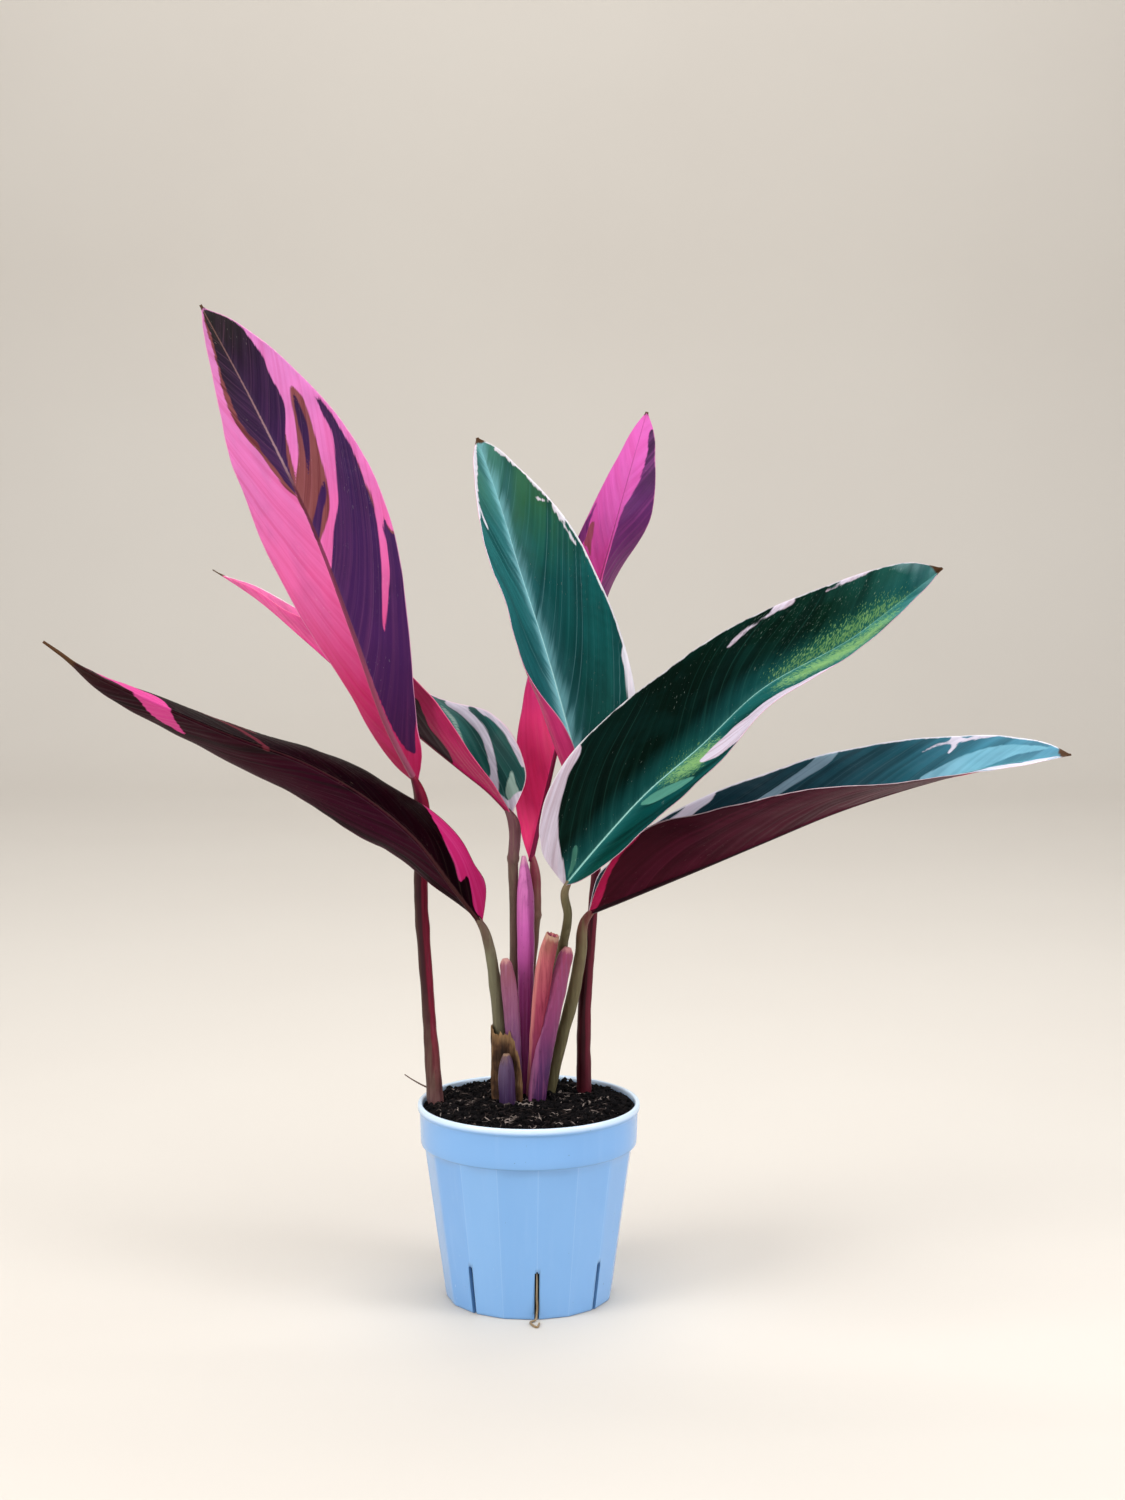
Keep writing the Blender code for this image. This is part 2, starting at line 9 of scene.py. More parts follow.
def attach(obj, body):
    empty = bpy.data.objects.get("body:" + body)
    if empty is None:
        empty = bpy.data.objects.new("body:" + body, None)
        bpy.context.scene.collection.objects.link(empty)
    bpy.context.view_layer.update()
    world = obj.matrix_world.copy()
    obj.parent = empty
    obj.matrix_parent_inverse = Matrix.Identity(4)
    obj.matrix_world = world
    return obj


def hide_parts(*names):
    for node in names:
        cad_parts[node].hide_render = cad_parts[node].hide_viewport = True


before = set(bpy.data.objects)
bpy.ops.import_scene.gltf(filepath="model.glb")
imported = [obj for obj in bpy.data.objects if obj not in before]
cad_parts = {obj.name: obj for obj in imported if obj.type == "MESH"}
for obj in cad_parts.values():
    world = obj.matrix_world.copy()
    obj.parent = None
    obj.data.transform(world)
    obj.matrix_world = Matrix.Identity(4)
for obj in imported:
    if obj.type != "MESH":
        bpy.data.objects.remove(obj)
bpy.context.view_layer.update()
mm = 0.001
print("frame loaded")


# shader building

def shade(red, green, blue):
    # screen colour 0 to 255 to the linear colour that a shader takes
    parts = [value / 255 for value in (red, green, blue)]
    linear = [v / 12.92 if v <= 0.04045 else ((v + 0.055) / 1.055) ** 2.4 for v in parts]
    return (*linear, 1.0)


class Wire:
    def __init__(self, skin, socket):
        self.skin = skin
        self.socket = socket

    def maths(self, operation, *values):
        made = self.skin.node("Math", {"operation": operation}, dict(enumerate(values)))
        return Wire(self.skin, made.outputs[0])

    def __add__(self, other):
        return self.maths("ADD", self, other)

    def __radd__(self, other):
        return self.maths("ADD", other, self)

    def __sub__(self, other):
        return self.maths("SUBTRACT", self, other)

    def __rsub__(self, other):
        return self.maths("SUBTRACT", other, self)

    def __mul__(self, other):
        return self.maths("MULTIPLY", self, other)

    def __rmul__(self, other):
        return self.maths("MULTIPLY", other, self)

    def __truediv__(self, other):
        return self.maths("DIVIDE", self, other)

    def __pow__(self, other):
        return self.maths("POWER", self, other)

    def __abs__(self):
        return self.maths("ABSOLUTE", self)

    def sine(self):
        return self.maths("SINE", self)

    def over(self, low, high):
        # 0 below low, 1 above high, eased between
        made = self.skin.node("MapRange", {"interpolation_type": "SMOOTHSTEP"},
                              {"Value": self, "From Min": low, "From Max": high})
        return Wire(self.skin, made.outputs[0])

    def under(self, low, high):
        return 1 - self.over(low, high)


class Skin:
    def __init__(self, name, **plain):
        self.material = bpy.data.materials.new(name)
        self.material.use_nodes = True
        self.tree = self.material.node_tree
        self.tree.nodes.clear()
        self.shader = self.node("BsdfPrincipled", {}, plain)
        self.node("OutputMaterial", {}, {"Surface": Wire(self, self.shader.outputs[0])})

    def node(self, kind, settings=None, values=None):
        made = self.tree.nodes.new("ShaderNode" + kind)
        for key, value in (settings or {}).items():
            if key == "stops":
                ramp = made.color_ramp
                while len(ramp.elements) < len(value):
                    ramp.elements.new(0.5)
                for stop, (place, colour) in zip(ramp.elements, value):
                    stop.position = place
                    stop.color = colour
            else:
                setattr(made, key, value)
        for key, value in (values or {}).items():
            self.put(made.inputs[key], value)
        return made

    def put(self, socket, value):
        if isinstance(value, Wire):
            self.tree.links.new(value.socket, socket)
        else:
            socket.default_value = value

    def set(self, name, value):
        self.put(self.shader.inputs[name], value)

    def field(self, name):
        return Wire(self, self.node("Attribute", {"attribute_name": name}).outputs["Fac"])

    def vector(self, x, y, z):
        return Wire(self, self.node("CombineXYZ", {}, {"X": x, "Y": y, "Z": z}).outputs[0])

    def place(self, stretch=(1, 1, 1)):
        there = Wire(self, self.node("TexCoord").outputs["Object"])
        made = self.node("VectorMath", {"operation": "MULTIPLY"}, {0: there, 1: stretch})
        return Wire(self, made.outputs[0])

    def noise(self, vector, detail=3.0, roughness=0.55):
        values = {"Vector": vector, "Detail": detail, "Roughness": roughness, "Scale": 1.0}
        return Wire(self, self.node("TexNoise", {}, values).outputs["Fac"])

    def ramp(self, value, stops):
        return Wire(self, self.node("ValToRGB", {"stops": stops}, {"Fac": value}).outputs["Color"])

    def mix(self, part, first, second, blend="MIX"):
        made = self.node("Mix", {"data_type": "RGBA", "blend_type": blend}, {0: part, 6: first, 7: second})
        return Wire(self, made.outputs[2])

    def bump(self, height, distance, strength=1.0):
        made = self.node("Bump", {}, {"Height": height, "Distance": distance, "Strength": strength})
        self.set("Normal", Wire(self, made.outputs[0]))


# mesh building

def newPiece(name, points, faces, skins, faceSkin=None, fields=None):
    mesh = bpy.data.meshes.new(name)
    mesh.from_pydata(points, [], faces)
    for skin in skins:
        mesh.materials.append(skin.material)
    mesh.polygons.foreach_set("use_smooth", [True] * len(mesh.polygons))
    if faceSkin is not None:
        mesh.polygons.foreach_set("material_index", faceSkin)
    for key, values in (fields or {}).items():
        layer = mesh.attributes.new(key, "FLOAT", "POINT")
        layer.data.foreach_set("value", np.asarray(values, np.float32).ravel())
    mesh.update()
    piece = bpy.data.objects.new(name, mesh)
    bpy.context.scene.collection.objects.link(piece)
    return piece


def faceOutward(piece):
    shape = bmesh.new()
    shape.from_mesh(piece.data)
    bmesh.ops.recalc_face_normals(shape, faces=shape.faces)
    shape.to_mesh(piece.data)
    shape.free()


def settle(piece, node):
    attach(piece, "root")
    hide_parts(node)


def through(stations, at):
    # smooth curve through (place, value, ...) stations
    rows = np.array(stations, float)
    places, values = rows[:, 0], rows[:, 1:]
    width = np.diff(places)[:, None]
    rise = np.diff(values, axis=0) / width
    slope = np.empty_like(values)
    if len(places) == 2:
        slope[:] = rise[0]
    else:
        slope[1:-1] = (rise[:-1] * width[1:] + rise[1:] * width[:-1]) / (width[1:] + width[:-1])
        slope[0] = 1.5 * rise[0] - 0.5 * slope[1]
        slope[-1] = 1.5 * rise[-1] - 0.5 * slope[-2]
    at = np.clip(np.asarray(at, float), places[0], places[-1])
    k = np.clip(np.searchsorted(places, at, side="right") - 1, 0, len(places) - 2)
    step = width[k]
    u = (at - places[k])[:, None] / step
    first = values[k] * (1 + 2 * u) * (1 - u) ** 2 + step * slope[k] * u * (1 - u) ** 2
    second = values[k + 1] * u * u * (3 - 2 * u) + step * slope[k + 1] * u * u * (u - 1)
    return first + second


def along(points, s):
    # the line through the points at parts s of its length, and that length
    points = np.array(points, float)
    run = np.concatenate([[0.0], np.cumsum(np.linalg.norm(np.diff(points, axis=0), axis=1))])
    fine = through(np.column_stack([run / run[-1], points]), np.linspace(0, 1, 801))
    length = np.concatenate([[0.0], np.cumsum(np.linalg.norm(np.diff(fine, axis=0), axis=1))])
    places = s * length[-1]
    return np.column_stack([np.interp(places, length, column) for column in fine.T]), length[-1]


def unit(rows):
    return rows / np.maximum(np.linalg.norm(rows, axis=-1, keepdims=True), 1e-9)


def gridFaces(rows, columns, first=0, flip=False, wrap=False):
    i, j = np.meshgrid(np.arange(rows - 1), np.arange(columns if wrap else columns - 1), indexing="ij")
    k = (j + 1) % columns
    quad = [i * columns + j, i * columns + k, (i + 1) * columns + k, (i + 1) * columns + j]
    if flip:
        quad.reverse()
    return (np.stack([q.ravel() for q in quad], axis=1) + first).tolist()


def rimLoop(rows, columns):
    # point numbers round the edge of a grid
    last = rows * columns - 1
    return (list(range(columns - 1)) + [i * columns + columns - 1 for i in range(rows - 1)]
            + [last - j for j in range(columns - 1)] + [(rows - 1 - i) * columns for i in range(rows - 1)])


def endCaps(rings, sides, foot, tip):
    # fans that close both ends of a grid of rings
    last = (rings - 1) * sides
    return ([(foot, (j + 1) % sides, j) for j in range(sides)]
            + [(tip, last + j, last + (j + 1) % sides) for j in range(sides)])


# leaf blades

blade = {
    "rows": 210,
    "columns": 61,
    "evenSpacing": 0.35,
    "thickness": 0.42,
    "edgeThickness": 0.45,
    "ribRise": 1.15,
    "ribSpread": 1.15,
    "groove": 0.35,
    "veinSpread": 0.42,
    "veinStart": 1.5,
    "veinBend": 0.04,
    "quilt": 0.12,
    "quiltPitch": 3.8,
    "fadeIn": 5,
    "ripple": 0.35,
    "endHalfWidth": 0.6,
    "deepest": 12,
}


def leafSheet(leaf, s, across):
    # middle surface in mm: rows along the rib, columns across
    rib, length = along(leaf["rib"], s)
    ahead = unit(np.gradient(rib, axis=0))
    face = np.tile(np.array(leaf["face"], float), (len(s), 1))
    face = unit(face - (face * ahead).sum(1)[:, None] * ahead)
    side = np.cross(ahead, face)
    grid = np.zeros((len(s), len(across), 3))
    reach = np.zeros((len(s), len(across)))
    for j, t in enumerate(across):
        hand = "left" if t < 0 else "right"
        width = np.maximum(through(leaf[hand + "Width"], s)[:, 0], blade["endHalfWidth"])
        fold = np.radians(through(leaf[hand + "Fold"], s)[:, 0])
        halfCurl = np.radians(through(leaf[hand + "Curl"], s)[:, 0]) * abs(t) / 2
        chord = abs(t) * width * np.sinc(halfCurl / math.pi)
        out = math.copysign(1.0, t) * chord * np.cos(fold + halfCurl)
        lift = chord * np.sin(fold + halfCurl)
        grid[:, j] = rib + side * out[:, None] + face * lift[:, None]
        reach[:, j] = t * width
    normal = unit(np.cross(np.gradient(grid, axis=0), np.gradient(grid, axis=1)))
    if (normal * face[:, None, :]).sum() < 0:
        normal = -normal
    return grid, normal, reach, length


def roundOutline(points, steps=4):
    # closed smooth line through the corners
    points = np.array(points, float)
    before, after, beyond = np.roll(points, 1, 0), np.roll(points, -1, 0), np.roll(points, -2, 0)
    rows = []
    for k in range(steps):
        u = k / steps
        square = 2 * before - 5 * points + 4 * after - beyond
        cube = 3 * points - before - 3 * after + beyond
        rows.append(0.5 * (2 * points + (after - before) * u + square * u**2 + cube * u**3))
    return np.stack(rows, 1).reshape(-1, 2)


def depthInside(x, y, outline):
    # mm inside the outline, negative outside
    ends = np.roll(outline, -1, 0)
    nearest = np.full(x.shape, 1e9)
    inside = np.zeros(x.shape, bool)
    for (ax, ay), (bx, by) in zip(outline, ends):
        dx, dy = bx - ax, by - ay
        part = np.clip(((x - ax) * dx + (y - ay) * dy) / max(dx * dx + dy * dy, 1e-9), 0, 1)
        nearest = np.minimum(nearest, (x - ax - part * dx) ** 2 + (y - ay - part * dy) ** 2)
        if ay != by:
            crossing = ((ay > y) != (by > y)) & (x < (bx - ax) * (y - ay) / (by - ay) + ax)
            inside ^= crossing
    return np.where(inside, 1, -1) * np.sqrt(nearest)


def markingField(outlines, s, reach, length, leaf):
    # deepest of the outlines at each point, in mm
    # outline corners are (thousandths along, hundredths across)
    y = np.broadcast_to((s * length)[:, None], reach.shape)
    deepest = blade["deepest"]
    field = np.full(reach.shape, -float(deepest))
    for outline in outlines:
        corners = np.array(outline, float)
        sides = corners[:, 1] / 100
        sides = np.where(np.abs(sides) > 0.97, sides * 1.25, sides)  # corners at the margin go past it
        left = np.maximum(through(leaf["leftWidth"], corners[:, 0] / 1000)[:, 0], 1.0)
        right = np.maximum(through(leaf["rightWidth"], corners[:, 0] / 1000)[:, 0], 1.0)
        flat = np.column_stack([sides * np.where(sides < 0, left, right), corners[:, 0] / 1000 * length])
        field = np.maximum(field, depthInside(reach, y, roundOutline(flat)))
    return np.clip(field, -deepest, deepest)


def veinFields(leaf, s, reach, length, seed):
    # measures along and across the side veins, in mm
    away = np.abs(reach)
    y = (s * length)[:, None] * np.ones_like(reach)
    start, bend = leaf.get("veinStart", blade["veinStart"]), leaf.get("veinBend", blade["veinBend"])
    vein = blade["veinSpread"] * (y - start * away - bend * away**2)
    fromEdge = np.where(reach < 0, reach - reach[:, :1], reach[:, -1:] - reach)
    margin = np.minimum(np.abs(fromEdge), length - y + 1.0)
    sway = [[noise.noise((v * 0.16, a * 0.03, seed)) for v, a in zip(*pair)] for pair in zip(vein, away)]
    phase = vein / blade["quiltPitch"] + 0.5 * np.array(sway)
    part = s[:, None] * np.ones_like(reach)
    return {"along": part, "rib": reach, "vein": vein, "margin": margin, "phase": phase}


def bladeRise(fields, across, y, wave, seed):
    # quilting between the side veins, a wavy margin and small ripples, in mm
    rib, away, s = fields["rib"], np.abs(fields["rib"]), fields["along"]
    ribFade, edgeFade = (np.minimum(1, field / blade["fadeIn"]) for field in (away, fields["margin"]))
    rise = -blade["quilt"] * np.cos(math.tau * fields["phase"]) * ribFade * edgeFade
    fade = np.abs(across) ** 2.5
    for i in range(len(rise)):
        for j, t in enumerate(across):
            swell = noise.noise((y[i, j] * 0.035, t * 1.2, seed + 3.3))
            rise[i, j] += wave * fade[j] * swell * min(1, s[i, j] * 8)
            ripple = noise.noise((y[i, j] * 0.09, rib[i, j] * 0.09, seed + 9.1))
            rise[i, j] += blade["ripple"] * ripple * ribFade[i, j]
    return rise


def makeLeaf(name, leaf, marks, looks, seed):
    rows, columns = blade["rows"], blade["columns"]
    s = np.linspace(0, 1, rows)
    u = np.linspace(-1, 1, columns)
    even = blade["evenSpacing"]
    across = np.sign(u) * (even * np.abs(u) + (1 - even) * np.abs(u) ** 1.6)
    grid, normal, reach, length = leafSheet(leaf, s, across)
    fields = veinFields(leaf, s, reach, length, seed)
    y = (s * length)[:, None] * np.ones_like(reach)
    rise = bladeRise(fields, across, y, looks.get("wave", 0.7), seed)
    ribBell = (1 - 0.8 * s)[:, None] * np.exp(-((np.abs(reach) / blade["ribSpread"]) ** 2))
    thinEdge = blade["edgeThickness"]
    thin = blade["thickness"] * (thinEdge + (1 - thinEdge) * np.clip(fields["margin"] / 3, 0, 1))
    top = grid + normal * (rise + thin / 2 - blade["groove"] * ribBell)[..., None]
    under = grid + normal * (rise - thin / 2 - blade["ribRise"] * ribBell)[..., None]
    points = np.concatenate([top.reshape(-1, 3), under.reshape(-1, 3)]) * mm
    count = rows * columns
    upper = gridFaces(rows, columns, flip=True)
    lower = gridFaces(rows, columns, first=count)
    loop = rimLoop(rows, columns)
    edge = [(b, a, a + count, b + count) for a, b in zip(loop, loop[1:] + loop[:1])]
    for layer in ("dark", "mid", "pale", "lime"):
        fields[layer] = markingField(marks.get(layer, []), s, reach, length, leaf)
    fields = {key: np.tile(value.ravel(), 2) for key, value in fields.items()}
    skins = [leafSkin(f"{name}_{face}_skin", looks[face], seed) for face in ("top", "under")]
    faceSkin = [0] * len(upper) + [1] * (len(lower) + len(edge))
    piece = newPiece(name + "_blade", points.tolist(), upper + lower + edge, skins, faceSkin, fields)
    faceOutward(piece)
    settle(piece, name)


# what a look has unless its own dictionary says otherwise
plainLook = {
    "shine": 0.12,
    "ragged": 7,
    "halfSide": 1,
    "featherPart": 0.8,
    "veinPart": 0.3,
    "finePart": 0.3,
    "cloudPart": 0.3,
    "fleck": (226, 214, 206),
    "fleckPart": 0.12,
    "ribWidth": 1.0,
    "ribPart": 0.85,
    "edgeWidth": 0.7,
    "dryFrom": 0.982,
    "dry": (78, 54, 36),
    "shadow": (150, 140, 150),
}


def leafSkin(name, ownLook, seed):
    look = {**plainLook, **ownLook}
    skin = Skin(name)
    skin.set("Specular IOR Level", look["shine"])
    alongLeaf, rib, vein, margin, phase = map(skin.field, ("along", "rib", "vein", "margin", "phase"))
    away = abs(rib)
    handed = rib.over(-0.2, 0.2) * 7.7 + seed  # each half has its own pattern
    broad = skin.noise(skin.vector(vein * 0.13, away * 0.008, handed), detail=2)
    streak = skin.noise(skin.vector(vein * 0.42, away * 0.016, handed + 5), detail=3, roughness=0.6)
    fine = skin.noise(skin.vector(vein * 1.7, away * 0.035, handed + 9), detail=2, roughness=0.5)
    cloud = skin.noise(skin.vector(alongLeaf * 9, rib * 0.09, seed + 2.5), detail=4)
    grain = skin.noise(skin.vector(vein * 3.0, rib * 0.9, seed + 4.0), detail=2)
    ragged = (streak - 0.5) * look["ragged"] + (fine - 0.5) * 2.2

    def tone(value):  # one colour, or stops along the blade
        if isinstance(value, list):
            return skin.ramp(alongLeaf + (cloud - 0.5) * 0.16, [(p, shade(*c)) for p, c in value])
        return shade(*value)

    colour = tone(look["ground"])
    if "half" in look:  # one half of the blade in its own tone
        part = (rib * look["halfSide"]).over(-0.3, 0.3) * look["halfPart"]
        colour = skin.mix(part * (0.7 + cloud * 0.6), colour, tone(look["half"]))
    if "band" in look:  # broad bars of a second tone along the veins
        colour = skin.mix(broad.over(0.47, 0.60) * look["bandPart"], colour, tone(look["band"]))
    if "veil" in look:  # soft bloom either side of the rib
        bloom = (away * -1 + ragged * 0.8 + look["veilWidth"]).over(-7, 7) * (0.55 + streak * 0.7)
        colour = skin.mix(bloom * look["veilPart"], colour, tone(look["veil"]))
    if "feather" in look:  # bright barbs close to the rib
        barbs = (away * -1 + ragged * 0.9 + look["featherWidth"] * (1 - alongLeaf * 0.55)).over(-3, 4)
        colour = skin.mix(barbs * look["featherPart"], colour, tone(look["feather"]))
    if "lime" in look:  # soft patch, thick with speckles
        patch = skin.field("lime")
        part = (patch + ragged * 0.9 + (grain - 0.5) * 12).over(-4.0, 5.0)
        colour = skin.mix(part * look["limePart"], colour, tone(look["lime"]))
        part = (patch + (grain - 0.5) * 40 + ragged * 0.4).over(1.0, 5.0)
        colour = skin.mix(part * look["specklePart"], colour, tone(look["speckle"]))
    for layer in ("mid", "dark", "pale"):
        if layer in look:
            inner = tone(look[layer])
            if layer + "Streak" in look:
                inner = skin.mix(streak.over(0.42, 0.68) * 0.75, inner, tone(look[layer + "Streak"]))
            colour = skin.mix((skin.field(layer) + ragged * 0.3).over(-0.4, 0.4), colour, inner)
    # veins, clouding and flecks over everything
    colour = skin.mix(streak.over(0.38, 0.68) * look["veinPart"], colour, shade(*look["vein"]), "MULTIPLY")
    colour = skin.mix(fine.over(0.5, 0.75) * look["finePart"], colour, shade(*look["fine"]), "SCREEN")
    colour = skin.mix(cloud.over(0.4, 0.75) * look["cloudPart"], colour, shade(*look["shadow"]), "MULTIPLY")
    if "line" in look:  # one thin line along each side vein
        crest = (phase * math.tau).sine().over(0.9, 1.0) * broad.over(0.4, 0.62) * margin.over(1.0, 6.0)
        colour = skin.mix(crest * look["linePart"], colour, shade(*look["line"]))
    fleck = grain.over(0.70, 0.74) * cloud.over(0.45, 0.6) * look["fleckPart"]
    if "dust" in look:  # stretch of the blade that is thick with flecks
        start, end = look["dust"]
        dusty = alongLeaf.over(start - 0.08, start + 0.04) * alongLeaf.under(end - 0.05, end + 0.05)
        fleck = fleck + grain.over(0.62, 0.70) * cloud.over(0.35, 0.6) * dusty * look["dustPart"]
    colour = skin.mix(fleck, colour, shade(*look["fleck"]))
    ribHalf = look["ribWidth"] * (1.1 - alongLeaf) ** 1.4
    ribPart = (ribHalf - away + (fine - 0.5) * 0.4).over(-0.15, 0.25) * look["ribPart"]
    colour = skin.mix(ribPart, colour, tone(look["rib"]))
    if "edge" in look:  # thin line round the margin
        rimHalf = look["edgeWidth"] + (streak - 0.5) * 1.4
        colour = skin.mix((rimHalf - margin).over(-0.2, 0.3) * 0.8, colour, shade(*look["edge"]))
    dry = (alongLeaf + (streak - 0.5) * 0.02).over(look["dryFrom"], look["dryFrom"] + 0.006)
    skin.set("Base Color", skin.mix(dry, colour, shade(*look["dry"])))
    skin.set("Roughness", 0.42 + (cloud - 0.5) * 0.2 + dry * 0.3)
    skin.bump(streak * 0.7 + fine * 0.35 + grain * 0.08, 0.0004, 0.5)
    return skin


# blades: rib in mm from base to tip, face is the way the top looks, widths in mm, folds and curls in degrees
leafA = {
    "rib": [(-52, 8, 244), (-64, 0, 269), (-79, -13, 314), (-95, -29, 362), (-119, -49, 418),
            (-141, -66, 463)],
    "face": (0, 1, 0.15),
    "leftWidth": [(0, 0), (0.04, 8), (0.1, 13), (0.2, 20), (0.35, 29), (0.5, 35), (0.6, 35.5), (0.7, 32),
                  (0.8, 25), (0.9, 15.5), (0.97, 5.5), (0.985, 2.2), (1, 0)],
    "leftFold": [(0, 15), (1, 15)],
    "leftCurl": [(0, 15), (1, 10)],
    "rightWidth": [(0, 0), (0.04, 6), (0.1, 10), (0.2, 14), (0.3, 22), (0.4, 28), (0.5, 32), (0.6, 31),
                   (0.7, 28), (0.8, 20), (0.9, 11), (0.97, 3.6), (0.985, 1.6), (1, 0)],
    "rightFold": [(0, 25), (1, 25)],
    "rightCurl": [(0, 15), (1, 15)],
}
leafB = {
    "rib": [(-22, -2, 179), (-35, -14, 199), (-52, -27, 224), (-75, -36, 245), (-99, -42, 260),
            (-133, -48, 274), (-168, -53, 290), (-193, -58, 303), (-213, -62, 317)],
    "face": (-0.1, 1, -0.15),
    "leftWidth": [(0, 0), (0.03, 12), (0.1, 18), (0.2, 27), (0.35, 31), (0.5, 32), (0.65, 29), (0.8, 19),
                  (0.88, 10), (0.93, 4), (0.97, 1.8), (1, 0)],
    "leftFold": [(0, 20), (0.1, 20), (0.2, 40), (0.4, 55), (0.5, 60), (0.7, 65), (1, 70)],
    "leftCurl": [(0, 20), (0.2, 30), (1, 20)],
    "rightWidth": [(0, 0), (0.04, 3), (0.1, 13), (0.2, 25), (0.35, 31), (0.5, 32), (0.65, 29), (0.8, 19),
                   (0.88, 10), (0.93, 4), (0.97, 1.8), (1, 0)],
    "rightFold": [(0, 55), (0.1, 55), (0.3, 50), (0.5, 55), (0.7, 62), (0.9, 55), (1, 55)],
    "rightCurl": [(0, 15), (1, 20)],
}
leafC = {
    "rib": [(-8, 6, 230), (-17, 10, 239), (-32, 17, 250), (-52, 27, 265), (-80, 40, 286), (-108, 52, 309),
            (-132, 62, 328), (-153, 68, 341)],
    "face": (0.5, 0, 0.85),
    "leftWidth": [(0, 0), (0.04, 8), (0.1, 15), (0.2, 24), (0.33, 28), (0.5, 28), (0.65, 22), (0.8, 11),
                  (0.9, 6), (0.95, 2.2), (1, 0)],
    "leftFold": [(0, 20), (0.2, 35), (0.33, 45), (0.65, 30), (0.8, 20), (1, 20)],
    "leftCurl": [(0, 10), (1, 15)],
    "rightWidth": [(0, 0), (0.03, 14), (0.07, 22), (0.12, 28), (0.2, 30), (0.33, 29), (0.5, 28), (0.65, 24),
                   (0.8, 13), (0.9, 7), (0.95, 2.4), (1, 0)],
    "rightFold": [(0, 75), (0.2, 70), (0.33, 35), (0.65, 20), (0.8, 25), (1, 30)],
    "rightCurl": [(0, 10), (1, 10)],
}
leafD = {
    "rib": [(32, 14, 222), (21, 20, 261), (9, 28, 303), (-4, 34, 343), (-14, 38, 376), (-24, 40, 405)],
    "face": (0, -1, 0.1),
    "leftWidth": [(0, 0), (0.05, 12), (0.1, 20), (0.2, 31), (0.3, 34), (0.45, 35), (0.6, 33), (0.7, 30),
                  (0.8, 24), (0.9, 14), (0.97, 6), (1, 0)],
    "leftFold": [(0, 30), (0.2, 20), (0.4, 45), (0.6, 60), (0.8, 50), (1, 45)],
    "leftCurl": [(0, 100), (0.2, 140), (0.4, 50), (0.6, 20), (0.8, 20), (1, 15)],
    "rightWidth": [(0, 0), (0.05, 14), (0.1, 22), (0.2, 32), (0.3, 35.5), (0.45, 36.5), (0.6, 34),
                   (0.7, 31), (0.8, 24), (0.9, 14), (0.97, 6), (1, 0)],
    "rightFold": [(0, 10), (1, 10)],
    "rightCurl": [(0, -10), (1, 0)],
}
leafE = {
    "rib": [(1, 14, 206), (10, 24, 244), (20, 36, 285), (33, 50, 332), (47, 64, 380), (58, 76, 417)],
    "face": (0, 1, -0.2),
    "leftWidth": [(0, 0), (0.05, 8), (0.1, 14), (0.2, 21), (0.35, 26), (0.5, 27), (0.65, 24), (0.8, 18),
                  (0.9, 11), (0.97, 5), (1, 0)],
    "leftFold": [(0, 85), (0.2, 85), (0.5, 75), (0.7, 55), (0.8, 20), (1, 10)],
    "leftCurl": [(0, 10), (1, 20)],
    "rightWidth": [(0, 0), (0.05, 8), (0.1, 14), (0.2, 21), (0.35, 26), (0.5, 26), (0.65, 22), (0.8, 15),
                   (0.9, 9), (0.97, 4), (1, 0)],
    "rightFold": [(0, 20), (0.5, 25), (1, 25)],
    "rightCurl": [(0, 20), (1, 20)],
}
leafF = {
    "rib": [(17, -5, 198), (35, -12, 221), (54, -18, 243), (79, -24, 266), (104, -30, 291), (148, -38, 318),
            (169, -42, 335), (185, -44, 348)],
    "face": (0, -1, 0.1),
    "leftWidth": [(0, 0), (0.02, 14), (0.05, 23), (0.1, 31), (0.2, 38), (0.3, 39), (0.4, 39), (0.5, 36),
                  (0.6, 32), (0.7, 30), (0.8, 27), (0.9, 19), (0.97, 9), (1, 0)],
    "leftFold": [(0, 15), (1, 15)],
    "leftCurl": [(0, -10), (1, 0)],
    "rightWidth": [(0, 0), (0.04, 12), (0.1, 24), (0.2, 32), (0.3, 36), (0.4, 37), (0.5, 35), (0.6, 32),
                   (0.7, 28), (0.8, 22), (0.9, 14), (0.97, 6), (1, 0)],
    "rightFold": [(0, 70), (0.3, 65), (0.5, 68), (1, 68)],
    "rightCurl": [(0, 20), (1, 20)],
    "veinStart": 1.1,
    "veinBend": 0.022,
}
leafG = {
    "rib": [(28, 4, 183), (47, -2, 192), (82, -10, 208), (110, -16, 221), (141, -22, 235), (172, -26, 246),
            (210, -32, 257), (246, -36, 263)],
    "face": (0, 0, 1),
    "leftWidth": [(0, 0), (0.03, 15), (0.08, 22), (0.2, 31), (0.3, 33), (0.4, 34), (0.5, 33), (0.6, 30),
                  (0.7, 26), (0.8, 20), (0.9, 13), (0.97, 6), (1, 0)],
    "leftFold": [(0, 50), (0.2, 55), (0.3, 55), (0.4, 50), (0.6, 45), (0.9, 50), (1, 50)],
    "leftCurl": [(0, 10), (1, 10)],
    "rightWidth": [(0, 0), (0.04, 10), (0.1, 21), (0.2, 30), (0.3, 33), (0.4, 34), (0.5, 33), (0.6, 30),
                   (0.7, 26), (0.8, 20), (0.9, 12), (0.97, 6), (1, 0)],
    "rightFold": [(0, 60), (0.2, 62), (0.3, 45), (0.4, 35), (0.5, 27), (0.7, 8), (0.8, 0), (1, 0)],
    "rightCurl": [(0, 10), (1, 10)],
}

